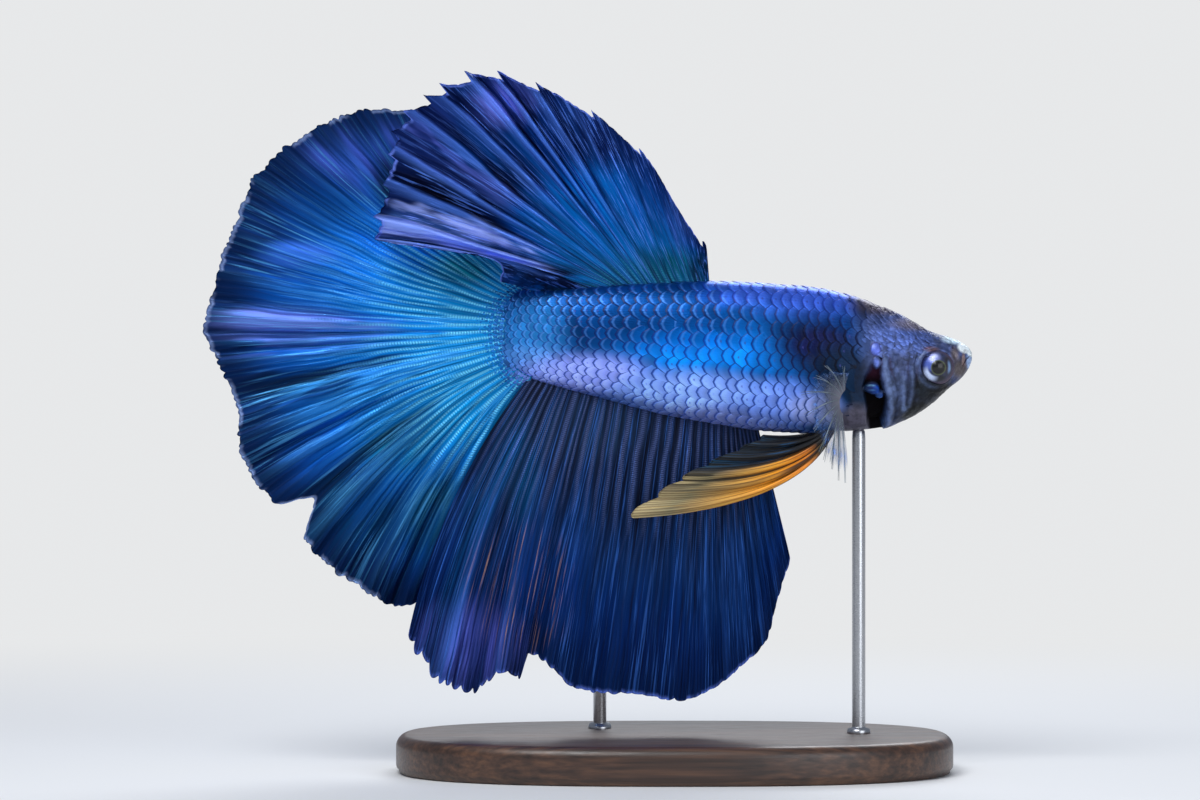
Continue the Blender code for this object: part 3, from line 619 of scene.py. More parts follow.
class Paint:
    """A material being made, on its own shader. Plain values are set on the shader's own sockets."""

    def __init__(self, name, **values):
        self.material = bpy.data.materials.new(name)
        self.material.use_nodes = True
        self.tree = self.material.node_tree
        self.shader = self.tree.nodes["Principled BSDF"]
        self.set(**values)

    def set(self, **values):
        wire(self.shader, spaced(values))

    def group(self, name, **values):
        return use_group(self.tree, name, **values)

    def place(self):
        """The place on the model in millimetres."""
        return self.group("side_place")["Place"]

    def value(self, name):
        """A number kept on the mesh's points."""
        return add_node(self.tree, "Attribute", attribute_name=name)["Fac"]

    def map(self, name):
        return add_node(self.tree, "UVMap", uv_map=name)[0]

    def bump(self, height, strength, distance):
        values = {"Height": height, "Strength": strength, "Distance": distance * MM}
        self.set(Normal=add_node(self.tree, "Bump", values)[0])


def shader_group(name, inputs, **outputs):
    """Makes a node group of the function under it, which takes the group's tree and inputs and
    gives its outputs in order."""

    def keep(fill):
        tree = GROUPS[name] = bpy.data.node_groups.new(name, "ShaderNodeTree")
        for socket, start in inputs.items():
            kind = FLOAT if isinstance(start, float) else VECTOR
            tree.interface.new_socket(socket, in_out="INPUT", socket_type=kind).default_value = start
        for socket, kind in outputs.items():
            tree.interface.new_socket(socket, in_out="OUTPUT", socket_type=kind)
        given = Made(tree.nodes.new("NodeGroupInput"))
        wire(tree.nodes.new("NodeGroupOutput"), dict(zip(outputs, fill(tree, given))))
        return fill

    return keep


@shader_group(
    "soft_patch", {"Place": ORIGIN, "Middle": ORIGIN, "Reach": (1.0, FAR, 1.0), "Softness": 0.7}, Mask=FLOAT
)
def soft_patch_group(tree, given):
    """1 inside an oval area seen from the side, fading to 0 at its reach."""
    apart = given["Place"].vector("SUBTRACT", given["Middle"])[0]
    length = apart.vector("DIVIDE", given["Reach"])[0].vector("LENGTH")["Value"]
    yield length.step(1.0, 1.0 - given["Softness"])


@shader_group("side_place", {}, Place=VECTOR)
def side_place_group(tree, given):
    """The place on the model in millimetres."""
    yield add_node(tree, "TexCoord")["Object"].vector("MULTIPLY", (1 / MM,) * 3)[0]


@shader_group(
    "fin_rays", {"Rays Place": ORIGIN, "Rays": 20.0, "Beads": 60.0, "Fork": 0.3}, Ridge=FLOAT, Beads=FLOAT
)
def fin_ray_group(tree, given):
    """Forking fin rays. Ridge is 1 on a ray and 0 between rays, Beads are the small scales on them."""
    place, fork = given["Rays Place"], given["Fork"]
    across, along, _ = place.parts()
    across = across + (place.noise(3.5, 1.0) - 0.5) * 0.03
    once, twice, fourth = (
        abs((across * given["Rays"] * (math.pi * times)).maths("SINE")) for times in (1, 2, 4)
    )
    early = {0: along.step(fork, fork + 0.12), 2: once, 3: twice}
    late = {0: along.step(fork + 0.28, fork + 0.45), 2: add_node(tree, "Mix", early)[0], 3: fourth}
    ridge = add_node(tree, "Mix", late)[0]
    knots = abs((along * given["Beads"] * math.pi).maths("SINE"))
    return ridge, knots * ridge ** 2.0


@shader_group(
    "ray_streaks", {"Rays Place": ORIGIN, "Density": 60.0, "Wander": 2.0}, Broad=FLOAT, Light=FLOAT, Dark=FLOAT
)
def streak_group(tree, given):
    """Long thin streaks of chance tone along the rays: broad bands, light hairs and dark hairs. The fin
    paints use the light hairs for painted highlights and the dark hairs for painted shade.
    """
    across, along, _ = given["Rays Place"].parts()
    for pace, part, low, high in ((0.25, 0.6, 0.36, 0.64), (2.4, 1.2, 0.52, 0.66), (1.1, 1.0, 0.5, 0.3)):
        values = {0: across * given["Density"] * pace, 1: along * given["Wander"] * part, 2: 3.0 * pace}
        yield add_node(tree, "CombineXYZ", values)[0].noise(1.0, 3.0, 0.6).step(low, high)


@shader_group("skin_grain", {"Place": ORIGIN, "Size": 0.12}, Height=FLOAT, Tone=FLOAT)
def grain_group(tree, given):
    """Fine living texture: small pits and a slow change of tone."""
    pace = 1.0 / given["Size"]
    return given["Place"].noise(pace, 3.0), given["Place"].noise(pace * 0.12, 2.0)


@shader_group("scale_face", {"Scale Place": ORIGIN}, Rim=FLOAT, Crescent=FLOAT, Lines=FLOAT, Spot=FLOAT)
def scale_face_group(tree, given):
    """The pattern on one scale, from its own map: 0 to 1 from root to free edge, -1 to 1 across.
    Crescent marks where a painted highlight goes.
    """
    along, across, _ = given["Scale Place"].parts()
    away = abs(across)
    rim = along.step(0.86, 0.95).maths("MAXIMUM", away.step(0.8, 0.95))
    crescent = along.step(0.72, 0.82) * along.step(0.89, 0.84) * away.step(0.75, 0.3)
    lines = (across / (along + 0.35) * 34.0).maths("SINE") * 0.5 + 0.5
    spot = abs(along - 0.72).step(0.06, 0.01) * away.step(0.14, 0.02)
    return rim, crescent, lines, spot


def soft_patch(place, middle, reach, softness):
    """A soft patch by x and z. A third reach is the sideways one."""
    sideways = reach[2] if len(reach) > 2 else FAR
    middle, reach = (middle[0], 0.0, middle[1]), (reach[0], sideways, reach[1])
    return use_group(place.tree, "soft_patch", Place=place, Middle=middle, Reach=reach, Softness=softness)["Mask"]


def in_zones(place, colour, zones, uneven=1.0):
    """A colour with soft areas of others laid over it."""
    for middle, reach, tone, softness in zones:
        colour = mixed(soft_patch(place, middle, reach, softness) * uneven, colour, tone)
    return colour


@shader_group("body_markings_and_shade", {"Place": ORIGIN}, Color=COLOUR)
def markings_and_shade_group(tree, given):
    """The colours of the skin and of the scales, by their place on the body, with painted shade on the throat."""
    place = given["Place"]
    x, _, z = place.parts()
    trunk, face = in_zones(place, TRUNK, BODY_ZONES), in_zones(place, FACE, HEAD_ZONES)
    yield mixed((x + z * 0.28).step(33.9, 36.3), trunk, face)


# ---------------------------------------------------------------- the fish's paints
def skin_material():
    paint = Paint("wet_skin", Metallic=0.2, Coat_Roughness=0.25, Specular_IOR_Level=0.14)
    place, face, dark = paint.place(), paint.value("face"), paint.value("dark")
    grain = paint.group("skin_grain", Place=place, Size=0.16)
    blotch = place.noise(1.7, 4.0, 0.65)
    cells = add_node(paint.tree, "TexVoronoi", {"Vector": place, "Scale": 1.6})
    lump = cells["Distance"].step(0.62, 0.2)
    chosen = add_node(paint.tree, "SeparateColor", {0: cells["Color"]})[0]
    lump_tone = (lump * 0.55 + chosen * 0.45 - 0.6) * face + 1.0
    colour = paint.group("body_markings_and_shade", Place=place)["Color"]
    colour = colour.toned(blotch.step(0.32, 0.68, 0.68, 1.28)).toned(lump_tone)
    colour = mixed(paint.value("pale") * blotch.step(0.3, 0.6, 0.45, 0.85), colour, rgb(112, 134, 182))
    # This colour is painted shade for the dark mask: near black low down and dark red higher up, in the gill
    # opening, the grooves, the nostril and the crease round the eye.
    painted_shade = mixed(place.parts()[2].step(34.8, 36.0), rgb(5, 3, 6), rgb(46, 18, 36))
    paint.set(
        Base_Color=mixed(dark, colour, painted_shade),
        Roughness=blotch.step(0.3, 0.7, 0.55, 0.36) + dark * 0.5,
        Coat_Weight=(1.0 - dark) * 0.14,
    )
    paint.bump(grain["Height"] + lump * face * 1.2 + blotch, 0.5, 0.06)
    return paint.material


def scale_material():
    paint = Paint("scale_plates", Coat_Weight=0.06, Coat_Roughness=0.2, Specular_IOR_Level=0.12)
    place, own, chance = paint.place(), paint.map("Scale"), paint.value("tone")
    marks = paint.group("body_markings_and_shade", Place=place)["Color"]
    face = paint.group("scale_face", Scale_Place=own)
    grain = paint.group("skin_grain", Place=place, Size=0.1)
    crisp = 1.0 - paint.value("soft") * 0.65
    x, _, z = place.parts()
    # This mask paints shade: it darkens and greens the upper rows' scales, more toward the tail.
    painted_shade = z.step(36.9, 38.8) * (x.step(17.5, 10.0) * 0.9 + 0.1)
    plain = marks.toned(chance * 0.8 + 0.62)
    colour = mixed(painted_shade * crisp, plain, plain.tinted((0.2, 0.72, 0.82, 1.0)))
    # The free halves of the lower rows' scales are made lighter, a painted highlight.
    inside = own.parts()[0].step(0.45, 0.8) * (1.0 - painted_shade)
    colour = mixed(inside * 0.7, colour, plain.toned(1.5))
    # glint is a painted highlight: a pale blue crescent near each upper scale's free edge.
    glint = mixed(0.5, plain, rgb(96, 160, 255))
    colour = mixed(face["Crescent"] * (painted_shade * 0.55) * crisp, colour, glint)
    rim = face["Rim"] * (z.step(38.6, 40.4, 0.95, 0.85) * crisp)
    colour = mixed(rim, colour, marks.tinted((0.05, 0.15, 0.34, 1.0)))
    colour = mixed(face["Spot"] * chance.step(0.45, 0.8) * 0.7, colour, rgb(60, 64, 130))
    paint.set(
        Base_Color=colour, Metallic=(1.0 - face["Rim"]) * 0.75, Roughness=grain["Tone"].step(0.2, 0.8, 0.46, 0.3)
    )
    paint.bump(face["Lines"] * (crisp * 0.35) + grain["Height"], 0.4, 0.03)
    return paint.material


def fin_material(name, look):
    """A fin's membrane and rays, from its look."""
    paint = Paint(name, Specular_IOR_Level=0.1)
    place, own, fold = paint.place(), paint.map("Rays"), paint.value("fold")
    across, along, _ = own.parts()
    ray = paint.group("fin_rays", Rays_Place=own, Rays=look["rays"], Beads=look["beads"], Fork=look["fork"])
    streaks = paint.group("ray_streaks", Rays_Place=own, Density=look["rays"] * 3.4, Wander=look["wander"])
    ridge, broad, light = ray["Ridge"], streaks["Broad"], streaks["Light"]
    wander = (broad - 0.5) * 0.16
    colour = ramp(along + wander, look["stops"])
    colour = in_zones(place, colour, look["zones"], broad.step(0.0, 0.8, 0.45, 1.0))
    for middle, half, start, end, tone, strength in look["bands"]:
        apart = abs(across + wander * 0.3 - middle)
        inside = apart.step(half, half * 0.4) * along.step(start, start + 0.15) * along.step(end, end - 0.2)
        colour = mixed(inside * broad.step(0.0, 0.8, 0.6, 1.0) * strength, colour, tone)
    valley, crest = look["fold"]
    # Painted shade darkens the fold valleys, the grooves between the rays and the dark streaks, and a painted
    # highlight lightens the fold crests and the light streaks.
    shade = (1.0 - broad) * look["bands_dark"] + streaks["Dark"] * 0.5
    shade = shade + (1.0 - ridge) ** 2.0 * look["grooves"] + fold.step(0.0, -0.8, 0.0, valley)
    shaded = mixed(shade * 0.9, colour, colour.tinted(look["deep"]))
    lit = light * broad.step(0.0, 1.0, 0.3, 0.9) + fold.step(0.15, 0.9, 0.0, crest)
    colour = mixed(lit, shaded, mixed(0.6, colour, look["streak"]))
    near_root = along.step(look["bead_reach"], look["bead_reach"] * 0.3)
    beading = ray["Beads"] * near_root
    masks = {
        "pearl": (beading * 0.7 + 0.3) * (ridge ** 5.0 * near_root),
        "edge": (along + broad * -0.07).step(0.8, 0.97),
        "rim": along.step(0.982, 0.994) * broad.step(0.2, 0.6),
    }
    if "threads" in look:
        masks["threads"] = soft_patch(place, *look["threads_at"], 0.5) * light * ridge.step(0.6, 1.0)
    for key, mask in masks.items():
        tone, strength = look[key]
        colour = mixed(mask * strength, colour, tone)
    paint.set(
        Base_Color=colour, Metallic=ridge.step(0.0, 0.7, 0.45, 0.75), Roughness=light.step(0.0, 1.0, 0.5, 0.36)
    )
    paint.bump(ridge + light * 0.6 + streaks["Dark"] * -0.6 + beading * 1.2, look["relief"], 0.07)
    return paint.material


def pelvic_material():
    """Orange rays along the lower edge, dark and cyan ones above, grey-green at the tips."""
    paint = Paint("pelvic_fin_web", Metallic=0.1, Specular_IOR_Level=0.3)
    own = paint.map("Rays")
    across, along, _ = own.parts()
    streaks = paint.group("ray_streaks", Rays_Place=own, Density=24.0, Wander=2.0)
    ridge = paint.group("fin_rays", Rays_Place=own, Rays=11.0, Beads=40.0, Fork=0.35)["Ridge"]
    spread_ridge = paint.group("fin_rays", Rays_Place=own, Rays=8.0, Beads=40.0, Fork=0.8)["Ridge"]
    gold = ramp(along, PELVIC_GOLD)
    gold = mixed(streaks["Light"] * 0.5, gold, mixed(0.5, gold, rgb(255, 214, 120)))
    stripe = ridge.step(0.75, 1.0) * along.step(0.35, 0.6)
    dusk = mixed(stripe * 0.6, ramp(along, PELVIC_DUSK), rgb(12, 82, 132))
    colour = mixed((across + along * 0.12).step(0.52, 0.62), gold, dusk)
    groove = ((1.0 - ridge) ** 2.0).maths("MAXIMUM", streaks["Dark"] * 0.7)
    colour = mixed(groove * 0.9, colour, colour.tinted((0.22, 0.13, 0.1, 1.0)))
    upward = along.step(0.62, 0.34).maths("MAXIMUM", across.step(0.16, 0.34))
    gap = spread_ridge.step(0.74, 0.4) * upward
    gap = gap.maths("MAXIMUM", streaks["Broad"].step(0.5, 0.1, 0.0, 0.8) * upward)
    colour = mixed(gap * 0.9, colour, rgb(16, 14, 14))
    paint.set(Base_Color=colour, Roughness=streaks["Light"].step(0.0, 1.0, 0.5, 0.32))
    paint.bump(ridge + streaks["Light"] * 0.5, 0.5, 0.07)
    return paint.material


def web_material():
    """The pectoral fins' clear web, a little blue where the rays end, with painted pale blue glints there."""
    paint = Paint("clear_web", Roughness=0.3, Specular_IOR_Level=0.2)
    own = paint.map("Rays")
    along = own.parts()[1]
    streaks = paint.group("ray_streaks", Rays_Place=own, Density=26.0, Wander=3.0)
    # spots are painted highlights: pale blue glints toward the web's edge.
    spots = streaks["Light"] * along.step(0.45, 0.7)
    alpha = streaks["Broad"] * 0.16 + 0.06 + along.step(0.5, 0.0, 0.05, 0.7) + spots * 0.3
    paint.set(
        Base_Color=mixed(spots, ramp(along, WEB_STOPS), rgb(110, 160, 244)), Alpha=alpha * along.step(1.0, 0.72)
    )
    return paint.material


def ray_material():
    paint = Paint("pale_rays", Roughness=0.35, Specular_IOR_Level=0.3)
    grain = paint.group("skin_grain", Place=paint.place(), Size=0.3)
    tone = grain["Tone"]
    paint.set(
        Base_Color=mixed(tone.step(0.35, 0.65), rgb(108, 124, 128), rgb(150, 164, 178)),
        Alpha=tone.step(0.3, 0.7, 0.4, 0.75),
    )
    paint.bump(grain["Height"], 0.2, 0.02)
    return paint.material


def eye_material():
    """Iris, rings and pupil, laid over each other as soft patches round the eye's middle."""
    paint = Paint("eye_wet", Coat_Roughness=0.16, Specular_IOR_Level=0.3)
    (x, _, z), (radius, _, _) = node_box("eye_right")
    place = paint.place()

    def patch(shift, reach, softness):
        return soft_patch(place, (x + shift[0], z + shift[1]), reach, softness)

    grain = paint.group("skin_grain", Place=place, Size=0.1)
    colour = mixed(grain["Tone"].step(0.3, 0.7), rgb(36, 42, 66), rgb(60, 68, 104))
    for ring, shift, reach, softness, tone in EYE_TONES:
        mask = patch(shift, reach, softness)
        if ring:
            inner, outer = ring
            mask = mask * (patch((0.0, 0.0), (outer, outer), 0.16) - patch((0.0, 0.0), (inner, inner), 0.2))
        colour = mixed(mask, colour, tone)
    clear = patch((0.0, 0.0), (radius * 0.98, radius * 0.98), 0.28)
    paint.set(
        Base_Color=mixed(clear, rgb(78, 66, 84), colour),
        Coat_Weight=clear * 0.3,
        Roughness=clear.step(0.0, 1.0, 0.6, 0.3),
        Metallic=(1.0 - patch((0.08, -0.05), (0.6, 0.62), 0.1)) * 0.12,
    )
    paint.bump(grain["Height"], 0.2, 0.02)
    return paint.material


# ---------------------------------------------------------------- the stand's finishes
def wood_material():
    """Dark wood with its grain along the base."""
    paint = Paint("dark_wood", Coat_Weight=0.25, Coat_Roughness=0.3)
    place = paint.place()
    warp = place.vector("MULTIPLY", (0.06, 0.9, 0.9))[0].noise(0.55, 4.0)
    lines = place.vector("MULTIPLY", (0.05, 2.6, 2.6))[0].noise(1.0, 4.0)
    pores = place.vector("MULTIPLY", (0.5, 6.0, 6.0))[0].noise(1.0, 2.0)
    stops = ((0.36, rgb(38, 25, 18)), (0.5, rgb(66, 44, 32)), (0.64, rgb(96, 66, 46)))
    paint.set(Base_Color=ramp(lines * 0.6 + warp * 0.4, stops), Roughness=pores.step(0.3, 0.7, 0.5, 0.36))
    paint.bump(pores, 0.3, 0.04)
    return paint.material


def steel_material():
    paint = Paint("brushed_rod", Metallic=1.0, Base_Color=rgb(186, 188, 192))
    lines = paint.place().vector("MULTIPLY", (3.0, 3.0, 26.0))[0].noise(1.0, 2.0)
    paint.set(Roughness=lines.step(0.3, 0.7, 0.26, 0.36))
    paint.bump(lines, 0.04, 0.01)
    return paint.material


# ---------------------------------------------------------------- the body's surface
def body_grid(xs, turns):
    """Points of the body's outer shape: one row for each x, one column for each turn."""
    back, belly, middle, half = (spline(BODY, xs, i)[:, None] for i in (BACK, BELLY, WIDEST, HALF_WIDTH))
    across, up = np.cos(turns)[None, :], np.sin(turns)[None, :]
    y = half * np.sign(across) * np.abs(across) ** ROUNDNESS
    z = middle + np.where(up > 0, back - middle, middle - belly) * up
    return np.stack([np.broadcast_to(xs[:, None], y.shape), y, z], axis=2)


class Surface:
    """A sheet of points with their normals, that can be asked for any place between them."""

    def __init__(self, points, normals, first, second):
        self.grids = points, normals
        self.lines = first, second

    def at(self, *where):
        """Points and normals at places on the sheet."""
        places = []
        for value, line in zip(where, self.lines):
            step = (np.clip(value, line[0], line[-1]) - line[0]) / (line[1] - line[0])
            low = np.clip(step.astype(int), 0, len(line) - 2)
            places.append((low, (step - low)[..., None]))
        (i, a), (j, b) = places
        for grid in self.grids:
            low = grid[i, j] * (1 - b) + grid[i, j + 1] * b
            high = grid[i + 1, j] * (1 - b) + grid[i + 1, j + 1] * b
            yield low * (1 - a) + high * a

    def height_at(self, first, second):
        points, _ = self.at(np.array([first]), np.array([second]))
        return points[0, 2]


def coat_surface(side, along=300, down=220, finely=721):
    """One side of the body as a sheet: along it by x, and from the back (0) to the belly (1)."""
    xs = np.linspace(TAIL_END + 0.02, COAT_END, along)
    grid = body_grid(xs, np.linspace(math.pi / 2, -math.pi / 2, finely))
    step = np.linalg.norm(np.diff(grid[..., 1:], axis=1), axis=2)
    length = np.concatenate([np.zeros((along, 1)), np.cumsum(step, axis=1)], axis=1)
    parts = np.linspace(0.0, 1.0, down)
    points = np.empty((along, down, 3))
    for i, axis in np.ndindex(along, 3):
        points[i, :, axis] = np.interp(parts, length[i] / length[i, -1], grid[i, :, axis])
    points[..., 1] *= side
    normals = surface_normals(points)
    if normals[along // 2, down // 2, 1] * side < 0:
        normals = -normals
    return Surface(points, normals, xs, parts)


def lobe_distance(lobe, x, z):
    """How far out in a lobe each place is: 1 on its outline."""
    (middle_x, middle_z), (reach_x, reach_z), _ = lobe
    return np.hypot((x - middle_x) / reach_x, (z - middle_z) / reach_z)


def face_relief(points, normals):
    """What the head adds to the plain body: heights along the normal, and its masks."""
    x, y, z = np.moveaxis(points, 2, 0)
    flank = smoothstep(0.25, 0.7, np.abs(normals[..., 1]))
    uneven = wave_noise(x * 1.9, z * 1.9, 41)
    wx, wz = x + 0.1 * uneven, z + 0.1 * wave_noise(x * 1.7, z * 1.7, 42)
    (eye_x, _, eye_z), (eye_reach, _, _) = node_box("eye_right")
    from_eye = np.hypot(x - eye_x, z - eye_z) / eye_reach
    height = -1.05 * (1 - smoothstep(0.76, 0.9, from_eye)) * flank
    height += sum(raised * bell(from_eye - at, width) * flank for at, width, raised in EYE_RINGS)
    # dark holds painted shade: in the crease round the eye, in the face's grooves, round the lobes, at the nostril
    # and in the gill opening.
    dark = 0.15 * bell(from_eye - 0.88, 0.05) * flank
    pale = 0.5 * bell(from_eye - 1.12, 0.09) * flank * smoothstep(0.6, -0.6, x - eye_x)
    for line, width, raised, shade, shine in FACE_LINES:
        near = bell(line_distance(line, wx, wz), width) * flank
        height += raised * near
        dark = np.maximum(dark, shade * near)
        pale = np.maximum(pale, shine * near)
    nostril = np.hypot(x - NOSTRIL[0], z - NOSTRIL[1])
    height += 0.05 * bell(nostril - 0.2, 0.07) - 0.15 * bell(nostril, 0.1)
    dark = np.maximum(dark, 0.75 * bell(nostril, 0.11))

    # The gill opening: shallow at its top, and deep under the rear edge of the gill cover.
    reach = (1 - smoothstep(37.1, 37.7, z)) * smoothstep(0.1, 0.3, np.abs(y))
    behind = wx - spline(GILL_EDGE, wz)
    shallow = smoothstep(34.4, 36.4, wz)
    slit = smoothstep(0.04, -0.12, behind)
    slit *= smoothstep(0.0, 0.3 + 0.5 * shallow, behind + spline(GILL_GAP, wz))
    lobes = np.zeros_like(dark)
    for lobe in FACE_LOBES:
        apart = lobe_distance(lobe, wx, wz)
        height += lobe[-1] * np.sqrt(np.clip(1 - apart ** 2, 0, 1)) * flank
        dark = np.maximum(dark, 0.5 * bell(apart - 1.05, 0.12) * flank)
        lobes = np.maximum(lobes, (1 - smoothstep(0.75, 1.08, apart)) * flank)
    opening = slit * reach * (1 - lobes)
    height -= (1.0 - 0.55 * shallow) * opening
    height += 0.16 * (1 - smoothstep(0.0, 1.8, behind)) * smoothstep(-0.12, 0.02, behind) * reach
    keel = slit * (1 - smoothstep(31.4, 32.2, z))
    # The gill opening is painted dark, as painted shade.
    dark = np.maximum(dark * (1 - lobes * (dark < 0.5)), np.maximum(opening, keel))

    on_face = smoothstep(25.5, 27.0, x) * (1 - 0.8 * smoothstep(32.2, 33.0, x))
    lumps = np.abs(wave_noise(x * 2.6, z * 2.6 + np.abs(y), 5))
    height += (0.05 * lumps + 0.02 * wave_noise(x * 6.0, z * 6.0, 6)) * on_face
    spot = bell(np.hypot(x - 28.06, z - 32.62), 0.24) * flank
    pale = (pale * (0.75 + 0.35 * uneven) + spot) * (1 - opening)
    return height, {"dark": np.clip(dark, 0, 1), "pale": np.clip(pale, 0, 1), "face": on_face}


def make_skin(material):
    """One closed skin from the tail's root to the lips, finest over the head."""
    trunk_rings, head_rings, sides = int(95 * FINE), int(125 * FINE), int(360 * FINE)
    t = np.linspace(0.0, 1.0, head_rings)
    head_x = HEAD_FROM + (SNOUT - HEAD_FROM) * (0.55 * t + 0.45 * np.sin(t * math.pi / 2))
    xs = np.concatenate([np.linspace(TAIL_END, HEAD_FROM, trunk_rings, endpoint=False), head_x])
    turns = np.arange(sides) * 2 * math.pi / sides
    outer = body_grid(xs, turns)
    around = (np.roll(outer, -1, axis=1) - np.roll(outer, 1, axis=1)) / 2
    normals = unit(np.cross(around, np.gradient(outer, axis=0)))
    relief, masks = face_relief(outer, normals)
    on_head = smoothstep(0.0, 0.6, xs[:, None] - spline(SCALE_LIMIT, outer[..., 2]))
    rings = outer + normals * (relief - COAT_DEPTH * (1 - on_head))[..., None]
    points, faces = closed_rings(rings, rings[[0, -1]].mean(axis=1), flip=True)
    values = {key: np.concatenate([mask.ravel(), [0.0, 0.3]]) for key, mask in masks.items()}

    # On the bake map the faces that close the skin end at the map's edge.
    along, round_it = np.meshgrid((xs - TAIL_END) / (SNOUT - TAIL_END) * 0.98 + 0.01, turns, indexing="ij")
    unwrap = np.column_stack([along.ravel(), round_it.ravel() / (2 * math.pi)])
    corner = np.concatenate(faces)
    unwrap = np.concatenate([unwrap, [[0.005, 0.5], [0.995, 0.5]]])[corner]
    face_of = np.repeat(np.arange(len(faces)), [len(face) for face in faces])
    closing = np.bincount(face_of, unwrap[:, 1] > 1 - 1.5 / sides) > 0
    unwrap[closing[face_of] & (unwrap[:, 1] < 0.25), 1] = 1.0
    return build_mesh("skin", points, faces, material, {"OFBake": unwrap}, values)


# ---------------------------------------------------------------- scales
def plate_faces(count, turned):
    """Faces of a number of scales: each has a domed top, and an underside closed across its outline."""
    columns, rows = len(SCALE_ACROSS), len(SCALE_ALONG)
    rim = np.roll(outline(rows, columns), -1)
    starts = np.arange(count) * columns * rows
    top = (np.array(grid_faces(rows, columns, flip=turned))[None] + starts[:, None, None]).reshape(-1, 4)
    under = (rim[::-1] if turned else rim) + starts[:, None]
    return top.tolist() + under.tolist()


def build_plates(name, surface, first, second, length, spread, lift, soft, tone, unwrap, patch, sink, material):
    """Scales at places on a surface. length runs back along its first way, spread is half of each one's
    height on its second way, lift is how far the free edge stands off and sink how deep the root is.
    tone is each one's own, and soft says how soft its markings are. On the bake map each scale is a
    patch of its own at its root's place on unwrap, with shares of its length and its spread, and its
    underside is one point of it."""
    across, along = SCALE_ACROSS[None, None, :], SCALE_ALONG[None, :, None]
    reach = 1 - 0.78 * across ** 2
    where = first[:, None, None] - length[:, None, None] * (along * reach - 0.45)
    beside = second[:, None, None] + spread[:, None, None] * across
    where, beside = np.broadcast_arrays(where, beside)
    points, normals = surface.at(where, beside)
    rise = lift[:, None, None] * along * reach * (1 - 0.35 * across ** 2)
    rise = rise - 0.03 * (along >= 1.0) - 0.14 * (along <= 0.0) - sink
    points = points + normals * rise[..., None]
    a, b, c = points[0, 2, 3], points[0, 3, 3], points[0, 2, 4]
    turned = np.dot(np.cross(b - a, c - a), normals[0, 2, 3]) < 0
    count, cells = len(first), SCALE_ACROSS.size * SCALE_ALONG.size
    faces = plate_faces(count, turned)
    own = np.stack(np.broadcast_arrays(along + 0 * where, across + 0 * where), axis=-1).reshape(-1, 2)
    patches = np.column_stack([np.abs(length) * patch[0], spread * patch[1]])
    bake = (own * (-1.0, 0.5) + (0.5, 0.0)) * np.repeat(patches, cells, axis=0)
    bake += np.repeat(unwrap, cells, axis=0)
    undersides = [[face[0]] * len(face) for face in faces[-count:]]
    corner = np.concatenate([np.ravel(faces[:-count]), np.ravel(undersides)])
    values = {"tone": np.repeat(tone, cells), "soft": np.repeat(soft, cells)}
    maps = {"Scale": own, "OFBake": bake[corner]}
    return build_mesh(name, points.reshape(-1, 3), faces, material, maps, values)


def head_scale_places(surface):
    """Where the small scales of the nape and cheek lie."""
    (eye_x, _, eye_z), _ = node_box("eye_right")
    for row in range(15):
        part = 0.075 + row * 0.026
        x = 30.8 - row % 2 * 0.33
        while x > HEAD_FROM:
            z = surface.height_at(x, part)
            clear_of_eye = math.hypot(x - eye_x, z - eye_z) > 1.75
            clear_of_lobe = lobe_distance(FACE_LOBES[0], x, z) > 1.5
            on_nape = x > spline(SCALE_LIMIT, z) - 0.55 and z > 37.3 + 0.35 * math.sin(2.3 * x)
            if on_nape and clear_of_eye and clear_of_lobe:
                yield x, part
            x -= 0.66


def flank_scale_rows(surface):
    """The overlapping rows of the flank: each scale's place, length, spread, lift and softness."""
    for row in range(SCALE_ROWS + 1):
        down = row / SCALE_ROWS
        part = FLANK_REACH * (down + 0.045 * math.sin(math.pi * down))
        tall = FLANK_REACH / SCALE_ROWS * (1 + 0.045 * math.pi * math.cos(math.pi * down))
        x, step = 27.4, 0
        while x > TAIL_END + 0.25:
            slim = float(smoothstep(-9.5, 4.0, x))
            low = 1 - 0.16 * float(smoothstep(0.6, 0.9, down))
            front = 1 - 0.14 * float(smoothstep(14.0, 19.0, x))
            pitch = SCALE_PITCH * (0.58 + 0.42 * slim) * low * front
            if step % 2 == row % 2 and x < spline(SCALE_LIMIT, surface.height_at(x, part)) - 0.1:
                yield x, part, pitch * 1.95, tall, 0.15 * (0.55 + 0.45 * slim), 0.0
            x -= pitch / 2
            step += 1
    for row, part in enumerate((0.952, 0.972, 0.99)):
        x = 15.5 - row % 2 * SMALL_SCALE / 2
        while x > TAIL_END + 1.5:
            yield x, part, SMALL_SCALE * 1.9, 0.018, 0.1, BELLY_SOFT
            x -= SMALL_SCALE


def make_scales(side, word, material):
    """Rows of overlapping scales on one side, with small ones on the nape and along the belly."""
    surface = coat_surface(side)
    chance = np.random.default_rng(11)
    rows = list(flank_scale_rows(surface))
    for x, part in head_scale_places(surface):
        size = chance.uniform(0.75, 1.15)
        x += chance.normal(0, 0.1)
        part += chance.normal(0, 0.004)
        rows.append((x, part, 1.3 * size, 0.029 * size, 0.09 + COAT_DEPTH * 0.75, HEAD_SOFT))
    xs, parts, lengths, spreads, lifts, soft = np.array(rows).T
    xs += chance.normal(0, 0.04, len(xs))
    parts += chance.normal(0, 0.002, len(xs))
    lengths *= chance.normal(1.0, 0.05, len(xs))
    lifts *= chance.normal(1.0, 0.16, len(xs))
    tone = np.clip(chance.normal(0.5, 0.2, len(xs)), 0, 1)
    along = 0.015 + 0.9 * (xs - TAIL_END) / (SNOUT - TAIL_END) + 0.06 * (soft == HEAD_SOFT)
    down = 0.03 + 0.92 * parts + 0.035 * (soft == BELLY_SOFT)
    return build_plates(
        f"scales_{word}", surface, xs, parts, lengths, spreads, lifts, soft, tone,
        unwrap=np.column_stack([along, down]), patch=(0.008, 0.56), sink=COAT_DEPTH * 0.75, material=material,
    )


